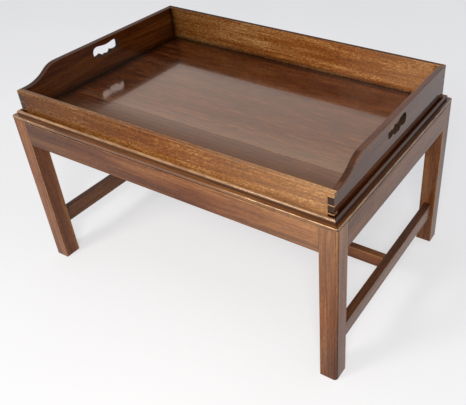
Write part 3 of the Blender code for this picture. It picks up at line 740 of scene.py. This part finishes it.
def finish_piece(work, node, slot, along, body, place=Matrix(), finish=None, shade=None):
    """Puts the bmesh in place of its CAD node.

    finish names a look other than the slot's, and shade(face, spot) gives the painted shade of a spot."""
    bmesh.ops.transform(work, matrix=place, verts=work.verts)
    bmesh.ops.recalc_face_normals(work, faces=work.faces)
    tone_piece(work, node, along, shade)
    mesh = bpy.data.meshes.new(f"{node}_finished")
    work.to_mesh(mesh)
    work.free()
    mesh.shade_smooth()
    mesh.set_sharp_from_angle(angle=SHARP_ANGLE)
    mesh.materials.append(finish_for(finish or slot, along))
    piece = bpy.data.objects.new(f"{node}_finished", mesh)
    bpy.context.scene.collection.objects.link(piece)
    flat = piece.modifiers.new("flat_faces", "WEIGHTED_NORMAL")
    flat.keep_sharp = True
    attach(piece, body)
    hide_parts(node)
    return piece


# %% [markdown]
# ## Corners and sides
#
# The stand is built up of four sides that look alike, so each piece is made once in a frame of its own
# and then taken to its side. In a side's frame X runs along the side, Y inwards from its face and Z up.
# In a corner's frame X and Y both run inwards from the outer corner of the leg. Mirrored copies would be
# quicker, but each piece has its own tone. STANDING takes a stick to a side's frame: its length to X, and
# its section's X inwards and Y up.

# %% Frames
CORNERS = ("front_left", "front_right", "back_right", "back_left")
SIDES = ("front", "right", "back", "left")
low, high = CAD_BOX
STAND_LENGTH = high.x - low.x
STAND_WIDTH = high.y - low.y
leg_low, leg_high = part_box("leg_front_left")
LEG_SIDE = leg_high.x - leg_low.x
FRAME_HEIGHT = leg_high.z


def spans(number):
    """Length of a side of the stand, and the depth behind it."""
    return (STAND_LENGTH, STAND_WIDTH) if number % 2 == 0 else (STAND_WIDTH, STAND_LENGTH)


def side_frame(number):
    """Frame of the front, right, back or left side."""
    return Matrix.Rotation(number * pi / 2, 4, "Z") @ Matrix.Translation((0, -spans(number)[1] / 2, 0))


def corner_frame(number):
    """Frame of the corner at the left of a side."""
    length, depth = spans(number)
    return Matrix.Rotation(number * pi / 2, 4, "Z") @ Matrix.Translation((-length / 2, -depth / 2, 0))


STANDING = Matrix(((0, 0, 1, 0), (1, 0, 0, 0), (0, 1, 0, 0), (0, 0, 0, 1)))
print("stand:", round(STAND_LENGTH, 4), round(STAND_WIDTH, 4), "legs:", round(LEG_SIDE, 4))

# %% [markdown]
# ## Legs
#
# Each leg is a square stick with a quirked ovolo worked on its outer corner: a quarter round that sits
# a little back from both faces, so that a thin line of shadow runs beside it. A bevel on a plain box
# would round the corner but leave no quirk, so the section is drawn with its two small steps. Two
# mortises near the top take the rails, and one lower down takes the side stretcher.

# %% Legs
OVOLO = 5.6 * MM
OVOLO_STEPS = 12
FILLET = 1.1 * MM
LEG_EASE = 0.8 * MM
FOOT_EASE = 2 * MM
# The small steps beside the ovolo are painted darker: painted shade in the quirk.
LEG_QUIRK_SHADE = -0.7
TENON_SET_IN = 8 * MM
TENON_THICKNESS = 8 * MM
TENON_SHOULDER = 8 * MM
RAIL_TENON_LENGTH = 24 * MM
SIDE_TENON = (8 * MM, 28 * MM, 20 * MM)
FIT = 0.3 * MM
rail_low, rail_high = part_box("rail_front")
RAIL_HEIGHT = rail_high.z - rail_low.z
RAIL_TENON = (TENON_THICKNESS, RAIL_HEIGHT - 2 * TENON_SHOULDER, RAIL_TENON_LENGTH)
stretcher_low, stretcher_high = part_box("side_stretcher_left")
stretcher_middle = (stretcher_low + stretcher_high) / 2


def plain_arris(edge):
    """Whether an edge is one of a leg's three arrises without an ovolo."""
    return runs_along(edge, 2) and convex(edge) and max(max(end.co[:2]) for end in edge.verts) > 2 * OVOLO


def foot_arris(edge):
    """Whether an edge runs round the foot."""
    return max(end.co.z for end in edge.verts) < FIT - FRAME_HEIGHT / 2 and convex(edge)


def in_leg_quirk(face):
    """Whether a face is one of the small steps beside the ovolo."""
    near, far = sorted(middle_of(face)[:2])
    return near > 0 and far < OVOLO + LEG_EASE and max(map(abs, face.normal)) > SQUARE_ON


def mortise(work, axis, across, height, size):
    """Cuts a mortise into a leg's inner face, round a point so far in from the outside and so high."""
    thickness, tall, depth = size
    facing = [0, 0, 0]
    facing[axis] = 1
    low = [across - thickness / 2 - FIT] * 2 + [height - tall / 2 - FIT]
    high = [across + thickness / 2 + FIT] * 2 + [height + tall / 2 + FIT]
    low[axis] = high[axis] = LEG_SIDE
    joint(work, facing, low, high, -depth - FIT)


# %% [markdown]
# A leg is made in the same order as at the bench: the moulding first, then the eased arrises, and the
# mortises last, at places measured from the rails and the stretcher.

# %% Four legs
for number, corner in enumerate(CORNERS):
    work = bmesh.new()
    section(work, (0, OVOLO), ((FILLET, OVOLO), (OVOLO, OVOLO, pi / 2, OVOLO_STEPS), (OVOLO, 0),
                               (LEG_SIDE, 0), (LEG_SIDE, LEG_SIDE), (0, LEG_SIDE)))
    draw_out(work, FRAME_HEIGHT)
    ease(work, plain_arris, LEG_EASE)
    ease(work, foot_arris, FOOT_EASE)
    note_wear_and_shade(work, in_leg_quirk, LEG_QUIRK_SHADE)
    for axis in (0, 1):
        mortise(work, axis, TENON_SET_IN + TENON_THICKNESS / 2, (FRAME_HEIGHT - RAIL_HEIGHT) / 2,
                RAIL_TENON)
    mortise(work, 1 - number % 2, STAND_LENGTH / 2 + stretcher_middle.x,
            stretcher_middle.z - FRAME_HEIGHT / 2, SIDE_TENON)
    place = corner_frame(number) @ Matrix.Translation((0, 0, FRAME_HEIGHT / 2))
    leg = finish_piece(work, f"leg_{corner}", "mahogany_stand", "z", "stand", place)
print("leg faces:", len(leg.data.polygons))

# %% [markdown]
# ## Rails
#
# The four rails join the legs. A small groove along the top, under the rim, reads as a thin dark line.
# A dark stripe could be painted on, but a real groove casts its own shadow from every side. Its faces are
# painted darker as well, a painted shade under the rim.

# %% Rails
RAIL_THICKNESS = rail_high.y - rail_low.y
RAIL_EASE = 0.4 * MM
GROOVE_HEIGHT = 2.2 * MM
GROOVE_DEPTH = 1.7 * MM
# The groove's faces are painted darker: painted shade under the rim.
GROOVE_SHADE = -0.4
GROOVE_LEVEL = RAIL_HEIGHT - GROOVE_HEIGHT


def show_arris(edge):
    """Whether an edge is one of the two arrises of a rail's outer face."""
    tip = edge.verts[0].co
    return runs_along(edge, 2) and convex(edge) and tip.y < GROOVE_LEVEL + FIT and tip.x < FIT


def in_groove(face):
    """Whether a face lines the groove."""
    x, y, _ = middle_of(face)
    return FIT < x < GROOVE_DEPTH + FIT and y > GROOVE_LEVEL


for number, side in enumerate(SIDES):
    length = spans(number)[0] - 2 * LEG_SIDE - 2 * FIT
    work = bmesh.new()
    section(work, (0, 0), ((RAIL_THICKNESS, 0), (RAIL_THICKNESS, RAIL_HEIGHT),
                           (GROOVE_DEPTH, RAIL_HEIGHT), (GROOVE_DEPTH, GROOVE_LEVEL), (0, GROOVE_LEVEL)))
    draw_out(work, length)
    ease(work, show_arris, RAIL_EASE)
    note_wear_and_shade(work, in_groove, GROOVE_SHADE)
    for end in (-1, 1):
        near = (TENON_SET_IN, TENON_SHOULDER, end * length / 2)
        far = (TENON_SET_IN + TENON_THICKNESS, RAIL_HEIGHT - TENON_SHOULDER, end * length / 2)
        joint(work, (0, 0, end), near, far, RAIL_TENON_LENGTH + FIT)
    place = side_frame(number) @ Matrix.Translation((0, 0, FRAME_HEIGHT - RAIL_HEIGHT)) @ STANDING
    rail = finish_piece(work, f"rail_{side}", "mahogany_stand", "xy"[number % 2], "stand", place)
print("rail faces:", len(rail.data.polygons))

# %% [markdown]
# ## Rim
#
# The rim is one moulding, mitred at the corners: a flat, a narrow quirk, and a tall bead that keeps the
# tray in place. A curve with a bevel profile could run round the table, but its corners would pinch. The
# rim is drawn as one outline instead, with the bead spun about its centre, and the two mitres are plane
# cuts at 45 degrees. Smaller cuts round the outer corner off, to follow the ovolo of the leg.

# %% The rim's section
RIM_WIDTH = 18 * MM
RIM_EDGE = 6.7 * MM
RIM_FLAT = 9.8 * MM
QUIRK_WIDTH = 1.1 * MM
QUIRK_DEPTH = 0.8 * MM
BEAD_RADIUS = 4 * MM
BEAD_RISE = 10.6 * MM
BEAD_STEPS = 28
RISER = RIM_FLAT + QUIRK_WIDTH
QUIRK_FLOOR = RIM_EDGE - QUIRK_DEPTH
BEAD_MIDDLE = (RIM_WIDTH - BEAD_RADIUS, RIM_EDGE + BEAD_RISE - BEAD_RADIUS)
CORNER_ROUND = 5.6 * MM
CORNER_CUTS = (12, 30, 45)


def saw(work, place, facing):
    """Cuts off all that lies beyond a plane and closes the cut."""
    cut = slice_at(work, place, facing, clear_outer=True)
    edges = [item for item in cut["geom_cut"] if isinstance(item, bmesh.types.BMEdge)]
    bmesh.ops.edgeloop_fill(work, edges=edges)


def mitred_rim(length):
    """A side of the rim with both mitres and the rounded outer corners."""
    out = BEAD_MIDDLE[0] - RISER
    drop = sqrt(BEAD_RADIUS ** 2 - out ** 2)
    over = -(pi + atan2(drop, out))
    work = bmesh.new()
    section(work, (0, 0), ((0, RIM_EDGE), (RIM_FLAT, RIM_EDGE), (RIM_FLAT, QUIRK_FLOOR),
                           (RISER, QUIRK_FLOOR), (RISER, BEAD_MIDDLE[1] - drop),
                           (*BEAD_MIDDLE, over, BEAD_STEPS), (RIM_WIDTH, 0)))
    draw_out(work, length)
    for end in (-1, 1):
        saw(work, (0, 0, end * (length / 2 - FIT)), (1, 0, end))
        for angle in map(radians, CORNER_CUTS):
            facing = Vector((-cos(angle), 0, end * sin(angle)))
            centre = Vector((CORNER_ROUND, 0, end * (length / 2 - CORNER_ROUND)))
            saw(work, centre + facing * CORNER_ROUND, facing)
    return work


print("middle of the bead:", [round(place / MM, 1) for place in BEAD_MIDDLE], "mm")

# %% [markdown]
# The arrises of the rim are rubbed paler, which is also a painted highlight. On the front the pale arris is
# strongest towards the two ends, partly rubbed and partly a painted highlight, and between the ends it is
# darker and dull, a painted shade. The front is cut into short lengths for that, and each holds its own
# wear. The top of the front bead is paler, partly rubbed and partly a painted highlight. A painted shade in
# the quirk and at the foot of the bead draws a dark line.

# %% Rim
RIM_ARRIS = 1.5 * MM
RIM_ARRIS_STEPS = 4
RIM_RUBBED_AND_HIGHLIGHT = 0.5
# Along the front arris the wear is rubbing with a painted highlight at the ends, and painted shade between
# them; the top of the bead gets a painted highlight too.
RUBBING_AND_HIGHLIGHT = ((-0.45, 1.0), (-0.36, 0.7), (-0.26, -0.3), (0.12, -0.3), (0.26, 0.9), (0.45, 1.0))
RUBBING_STEP = 0.03
BEAD_RUBBED_AND_HIGHLIGHT = 0.35
# The foot of the bead and the quirk are painted darker: painted shade.
BEAD_FOOT_SHADE = -0.5
RIM_QUIRK_SHADE = -0.8
RIM_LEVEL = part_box("rim_front")[0].z


def outer_arris(edge):
    """Whether an edge is an arris of the rim's outer face, also where it turns the corner."""
    one, other = edge.verts
    return max(one.co.x, other.co.x) < CORNER_ROUND / 3 and one.co.y == other.co.y


def on_bead(face):
    """Whether a face is on the upper half of the bead."""
    return middle_of(face).y > BEAD_MIDDLE[1] and abs(face.normal.z) < SIDEWAYS


def bead_foot(face):
    """Whether a face looks outwards below the middle of the bead."""
    x, y, _ = middle_of(face)
    return face.normal.x < -SIDEWAYS and x > RIM_FLAT and y < BEAD_MIDDLE[1]


def in_rim_quirk(face):
    """Whether a face lines the quirk beside the bead."""
    x, y, _ = middle_of(face)
    inside = RIM_FLAT < x < RISER + FIT and RIM_EDGE / 2 < y < RIM_EDGE
    return inside and abs(face.normal.z) < SIDEWAYS


for number, side in enumerate(SIDES):
    length = spans(number)[0]
    work = mitred_rim(length)
    ease(work, outer_arris, RIM_ARRIS, RIM_ARRIS_STEPS, RIM_RUBBED_AND_HIGHLIGHT)
    if side == "front":
        cuts = int(length / 2 / RUBBING_STEP)
        for cut in range(-cuts, cuts + 1):
            slice_at(work, (0, 0, cut * RUBBING_STEP), (0, 0, 1))
        layer = wear_and_shade_layer(work)
        note_wear_and_shade(work, lambda face: face[layer] > 0, lambda face: between(middle_of(face).z, RUBBING_AND_HIGHLIGHT))
        note_wear_and_shade(work, on_bead, BEAD_RUBBED_AND_HIGHLIGHT)
    note_wear_and_shade(work, bead_foot, BEAD_FOOT_SHADE)
    note_wear_and_shade(work, in_rim_quirk, RIM_QUIRK_SHADE)
    place = side_frame(number) @ Matrix.Translation((0, 0, RIM_LEVEL)) @ STANDING
    rim = finish_piece(work, f"rim_{side}", "mahogany_rim", "xy"[number % 2], "stand", place)
print("rim faces:", len(rim.data.polygons))

# %% [markdown]
# ## Stretchers
#
# Two side stretchers and one between them make an H near the floor. Each is a plain bar with eased arrises,
# so a cube, scaled to its size, is all it takes. The tenons are cut on the ends, and the middle bar goes
# into a mortise in each side one. The tops are painted darker and duller: painted shade under the tray.

# %% Stretchers
STRETCHER_EASE = 1.2 * MM
STRETCHER_RUBBED = 0.2
# The tops of the stretchers are painted darker: painted shade under the tray.
STRETCHER_TOP_SHADE = -0.45
MIDDLE_TENON = (8 * MM, 23 * MM, 14 * MM)


def bar(low, high, axis, tenon):
    """A bar between two corners with its arrises eased and a tenon at each end."""
    middle = (low + high) / 2
    work = bmesh.new()
    bmesh.ops.create_cube(work, size=1)
    bmesh.ops.scale(work, vec=high - low, verts=work.verts)
    bmesh.ops.translate(work, vec=middle, verts=work.verts)
    ease(work, lambda edge: runs_along(edge, axis), STRETCHER_EASE, rubbed_and_highlight=STRETCHER_RUBBED)
    note_wear_and_shade(work, faces_up, STRETCHER_TOP_SHADE)
    thickness, height, length = tenon
    half = Vector((thickness / 2, thickness / 2, height / 2))
    for end, level in ((-1, low[axis]), (1, high[axis])):
        facing = Vector((0, 0, 0))
        facing[axis] = end
        near, far = middle - half, middle + half
        near[axis] = far[axis] = level
        joint(work, facing, near, far, length)
    return work


def shoulders(node, axis, tenon):
    """A node's box without its tenons."""
    low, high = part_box(node)
    low[axis] += tenon[2]
    high[axis] -= tenon[2]
    return low, high


middle_low, middle_high = shoulders("middle_stretcher", 0, MIDDLE_TENON)
mortise_level = (middle_low.z + middle_high.z) / 2
mortise_half = Vector((0, MIDDLE_TENON[0] / 2 + FIT, MIDDLE_TENON[1] / 2 + FIT))
for side, inwards in (("left", 1), ("right", -1)):
    low, high = shoulders(f"side_stretcher_{side}", 1, SIDE_TENON)
    work = bar(low, high, 1, SIDE_TENON)
    middle = Vector((high.x if side == "left" else low.x, 0, mortise_level))
    joint(work, (inwards, 0, 0), middle - mortise_half, middle + mortise_half, -MIDDLE_TENON[2] - FIT)
    finish_piece(work, f"side_stretcher_{side}", "mahogany_stand", "y", "stand")
work = bar(middle_low, middle_high, 0, MIDDLE_TENON)
stretcher = finish_piece(work, "middle_stretcher", "mahogany_stand", "x", "stand")
print("middle stretcher faces:", len(stretcher.data.polygons))

# %% [markdown]
# ## Finish from the blank
#
# The tray's four boards are joined by through dovetails, and each end board has a shaped handhold. The
# ledgers and braces inside the stand are drilled for their screws. Drawn anew like the legs, such joints
# might not fit to a hair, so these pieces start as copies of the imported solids. Their triangles are
# merged into whole faces, and the same tool as before rounds their arrises.

# %% Blanks
MERGE = 0.002 * MM
FLAT_WITHIN = radians(0.5)
BLANK_STEPS = 2


def from_blank(node, arris, rubbed_and_highlight=RUBBED_ARRIS_AND_HIGHLIGHT):
    """A copy of a CAD node with its triangles merged into flat faces and its arrises eased."""
    work = bmesh.new()
    work.from_mesh(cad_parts[node].data)
    bmesh.ops.remove_doubles(work, verts=work.verts, dist=MERGE)
    bmesh.ops.dissolve_limit(work, angle_limit=FLAT_WITHIN, verts=work.verts, edges=work.edges)
    ease(work, convex, arris, BLANK_STEPS, rubbed_and_highlight)
    return work


# %% [markdown]
# ## The inside of the tray
#
# The inside corners of the tray lie in shade, along the floor and up the boards, and that shade is painted
# in. An Ambient Occlusion node could darken them, but it is slow to render. The tone attribute does it
# here. It changes only from one corner of a face to the next, so knife cuts beside the inside corners give
# it narrow faces to change across. They leave the shape as it is.
#
# The back floor board is lightest beside the joint. The front one is darker towards the front board, a
# painted shadow of that board, and its polish is duller there, which darkens it further as painted shade. A
# knot of a run is how far a spot is from the front board, and how light or worn it is there.

# %% Shade inside the tray
INSIDE = (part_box("tray_end_right")[0].x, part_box("tray_back_board")[0].y)
FLOOR_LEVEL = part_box("tray_floor_front")[1].z
FLOOR_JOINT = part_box("tray_floor_front")[1].y
STRIPS = (5 * MM, 14 * MM, 32 * MM)
# The floor and wall shades are painted shade in the inside corners of the tray.
FLOOR_SHADE = ((0, 0.05), (5 * MM, 0.15), (14 * MM, 0.4), (32 * MM, 1))
WALL_SHADE = ((0, 0.25), (5 * MM, 0.5), (14 * MM, 1))
# The front run is a painted shadow of the front board, and the front dullness also darkens the floor there
# as painted shade.
FRONT_BOARD_SHADOW = ((32 * MM, 0.3), (128 * MM, 0.95))
BACK_RUN = ((128 * MM, 1.35), (230 * MM, 1))
FRONT_DULL_AND_SHADE = ((32 * MM, -0.6), (84 * MM, -0.34), (128 * MM, -0.02))
RUN_STEP = 14 * MM
RUN_CUTS = 14
HAIR_GAP = 0.3 * MM
UP = Vector((0, 0, 1))


def mark_strips(work):
    """Cuts strips beside the inside corners of the tray, for the shade to run across."""
    for width in STRIPS:
        for axis, facing in enumerate((Vector((1, 0, 0)), Vector((0, 1, 0)))):
            for side in (-1, 1):
                slice_at(work, facing * side * (INSIDE[axis] - width), facing)
        slice_at(work, UP * (FLOOR_LEVEL + width), UP)


def on_floor(face):
    """Whether a face is part of the tray's floor."""
    return faces_up(face) and abs(middle_of(face).z - FLOOR_LEVEL) < HAIR_GAP


def dullness_and_shade(face):
    """How dull the front floor board is, and how much painted shade darkens it near the front board."""
    return between(INSIDE[1] + middle_of(face).y, FRONT_DULL_AND_SHADE)


def corner_shade(face, spot):
    """The painted shade of a spot of the tray: darker on its inside, near a corner."""
    middle = middle_of(face)
    if on_floor(face):
        run = between(INSIDE[1] + spot.y, FRONT_BOARD_SHADOW if middle.y < FLOOR_JOINT else BACK_RUN)
        return run * between(min(INSIDE[axis] - abs(spot[axis]) for axis in (0, 1)), FLOOR_SHADE)
    for axis, other in ((0, 1), (1, 0)):
        if abs(face.normal[axis]) > LEVEL and abs(abs(middle[axis]) - INSIDE[axis]) < HAIR_GAP:
            return between(min(INSIDE[other] - abs(spot[other]), spot.z - FLOOR_LEVEL), WALL_SHADE)
    return 1


print("inside of the tray:", [round(2 * half, 4) for half in INSIDE], "joint at", round(FLOOR_JOINT, 4))

# %% [markdown]
# ## Tray boards
#
# The front board is the one that is handled: its arrises are rubbed, and its top a little, and its paler
# arrises are also a painted highlight. The back and the left board have darker, duller tops, and so has the
# narrow edge of each sweep. The walls of the handholds are painted nearly black, a painted shade inside the
# cut. The end boards are darker and smoother than the others, so they get their own finish in the same
# slot. A board's two numbers say how rubbed its arrises are and how worn, or darker and duller, its top is.

# %% Tray boards
BOARD_EASE = 0.3 * MM
BOARD_WEAR = {
    "tray_front_board": (0.6, 0.1),
    "tray_back_board": (-0.2, -0.7),
    "tray_end_left": (0.1, -0.6),
    "tray_end_right": (0.1, 0),
}
SWEEP_LEAST = 0.2
SWEEP_LEAN = 0.1
# The narrow edge of each sweep is painted darker and duller.
SWEEP_DARKENING = -0.6
HANDHOLD_HALF = 46 * MM
HANDHOLD_LEVEL = 500 * MM
# The walls of the handhold are painted nearly black: painted shade inside the cut.
HANDHOLD_SHADE = -0.9


def in_sweep(face):
    """Whether a face is the narrow edge of an end board's sweep."""
    return SWEEP_LEAST < face.normal.z <= LEVEL and abs(face.normal.x) < SWEEP_LEAN


def in_handhold(face):
    """Whether a face lines the handhold of an end board."""
    _, y, z = middle_of(face)
    near = abs(y) < HANDHOLD_HALF and abs(z - HANDHOLD_LEVEL) < HANDHOLD_HALF / 2
    return near and abs(face.normal.x) < SIDEWAYS


for name, (arrises, top) in BOARD_WEAR.items():
    work = from_blank(name, BOARD_EASE, arrises)
    note_wear_and_shade(work, faces_up, top)
    if name.startswith("tray_end"):
        note_wear_and_shade(work, in_sweep, SWEEP_DARKENING)
        note_wear_and_shade(work, in_handhold, HANDHOLD_SHADE)
        look, along = "mahogany_ends", "y"
    else:
        look, along = "mahogany_tray", "x"
    mark_strips(work)
    board = finish_piece(work, name, "mahogany_tray", along, "tray", finish=look, shade=corner_shade)
print("end board faces:", len(board.data.polygons))

# %% [markdown]
# ## Tray floor
#
# The floor is two boards, glued edge to edge and let into a groove in the four boards round them. A line
# in the material could stand for their joint, but each board has its own fading and dirt, so each is a
# piece of its own. Cuts along them let tone and wear change from front to back.

# %% Tray floor
FLOOR_EASE = 0.2 * MM
# The underside of the floor is painted darker and duller: painted shade under the tray.
UNDERSIDE_SHADE = -0.4
for name in ("tray_floor_front", "tray_floor_back"):
    work = from_blank(name, FLOOR_EASE, 0)
    note_wear_and_shade(work, lambda face: face.normal.z < -LEVEL, UNDERSIDE_SHADE)
    mark_strips(work)
    for cut in range(1, RUN_CUTS + 1):
        slice_at(work, (0, STRIPS[-1] + cut * RUN_STEP - INSIDE[1], 0), (0, 1, 0))
    if name == "tray_floor_front":
        note_wear_and_shade(work, on_floor, dullness_and_shade)
    board = finish_piece(work, name, "mahogany_floor", "x", "tray", shade=corner_shade)
print("floor board faces:", len(board.data.polygons))

# %% [markdown]
# ## Ledgers and braces
#
# Four oak ledgers inside the rails carry the tray, and four oak braces behind the legs keep the corners
# square. They could stay as plain solids, but even a planed piece has slightly soft arrises.

# %% Ledgers and braces
OAK_EASE = 0.4 * MM
for number, side in enumerate(SIDES):
    finish_piece(from_blank(f"ledger_{side}", OAK_EASE), f"ledger_{side}", "oak_inside",
                 "xy"[number % 2], "stand")
for corner in CORNERS:
    brace = finish_piece(from_blank(f"corner_brace_{corner}", OAK_EASE), f"corner_brace_{corner}",
                         "oak_inside", "corner", "stand")
print("brace faces:", len(brace.data.polygons))

# %% [markdown]
# ## Wood screws
#
# Ten screws hold the ledgers and eight the corner braces. A cone could be set on a cylinder, but the two
# wouldn't be one body. A screw is turned work, so its outline is spun round once and the doubles are
# merged. The slot is sawn: three cuts, the waste deleted, and its walls and floor filled in. The thread
# is in the wood and is left out.

# %% Screws
SCREW_LENGTH = 32 * MM
SCREW_STEPS = 32
SHANK_RADIUS = 2.1 * MM
HEAD_RADIUS = 4.1 * MM
HEAD_HEIGHT = 3 * MM
HEAD_RIM = 0.4 * MM
TIP_LENGTH = 5 * MM
SLOT_HALF = 0.5 * MM
SLOT_DEPTH = 1.1 * MM
TURN_OF_SLOT = 0.65
HAIR = 0.001 * MM


def turned_screw():
    """A countersunk screw with its head's middle at the origin and its tip down."""
    work = bmesh.new()
    outline = ((0, -SCREW_LENGTH), (SHANK_RADIUS, TIP_LENGTH - SCREW_LENGTH),
               (SHANK_RADIUS, -HEAD_HEIGHT), (HEAD_RADIUS, -HEAD_RIM), (HEAD_RADIUS, 0), (0, 0))
    line = [work.verts.new((x, 0, z)) for x, z in outline]
    edges = [work.edges.new(pair) for pair in zip(line, line[1:])]
    bmesh.ops.spin(work, geom=line + edges, cent=(0, 0, 0), axis=(0, 0, 1), angle=2 * pi,
                   steps=SCREW_STEPS, use_merge=True)
    bmesh.ops.remove_doubles(work, verts=work.verts, dist=HAIR)
    for place, facing in (((SLOT_HALF, 0, 0), (1, 0, 0)), ((-SLOT_HALF, 0, 0), (1, 0, 0)),
                          ((0, 0, -SLOT_DEPTH), (0, 0, 1))):
        slice_at(work, place, facing, dist=HAIR)
    waste = [face for face in work.faces
             if abs(middle_of(face).x) < SLOT_HALF and middle_of(face).z > -SLOT_DEPTH]
    bmesh.ops.delete(work, geom=waste, context="FACES")
    fill_slot(work)
    return work


def fill_slot(work):
    """Closes the two walls of the slot and its floor."""
    open_edges = [edge for edge in work.edges if edge.is_boundary]
    for wall in (-SLOT_HALF, SLOT_HALF):
        ends = dict.fromkeys(vert for edge in open_edges for vert in edge.verts
                             if abs(vert.co.x - wall) < HAIR and abs(vert.co.z + SLOT_DEPTH) < HAIR)
        open_edges.append(work.edges.new(tuple(ends)))
        flat = [edge for edge in open_edges if all(abs(vert.co.x - wall) < HAIR for vert in edge.verts)]
        bmesh.ops.edgeloop_fill(work, edges=flat)
    level = [edge for edge in open_edges if all(abs(vert.co.z + SLOT_DEPTH) < HAIR for vert in edge.verts)]
    bmesh.ops.edgeloop_fill(work, edges=level)


# %% [markdown]
# A screw's own box tells how it lies. Where the box is long along X or Y, the screw goes straight into a
# rail. Where it is long along both, it goes into a leg's corner at 45 degrees, and its head is nearer
# the middle than the box's corner by its own radius.

# %% Screws in place
LYING = 1.5


def screw_place(node):
    """Where a screw's head sits and which way it faces."""
    low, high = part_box(node)
    size, middle = high - low, (low + high) / 2
    facing = Vector((0, 0, 0))
    for axis in (0, 1):
        if size[axis] > LYING * size.z:
            facing[axis] = -middle[axis] / abs(middle[axis])
    diagonal = facing.length > 1
    reach = size.x / sqrt(2) - HEAD_RADIUS if diagonal else max(size) / 2
    facing.normalize()
    upright = facing.to_track_quat("Z", "Y").to_matrix().to_4x4()
    return Matrix.Translation(middle + facing * reach) @ upright


screws = [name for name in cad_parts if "screw" in name]
for number, name in enumerate(screws):
    turn = Matrix.Rotation(number * TURN_OF_SLOT, 4, "Z")
    screw = finish_piece(turned_screw(), name, "steel_screw", "z", "stand", screw_place(name) @ turn)
print("screws:", len(screws), "faces each:", len(screw.data.polygons))
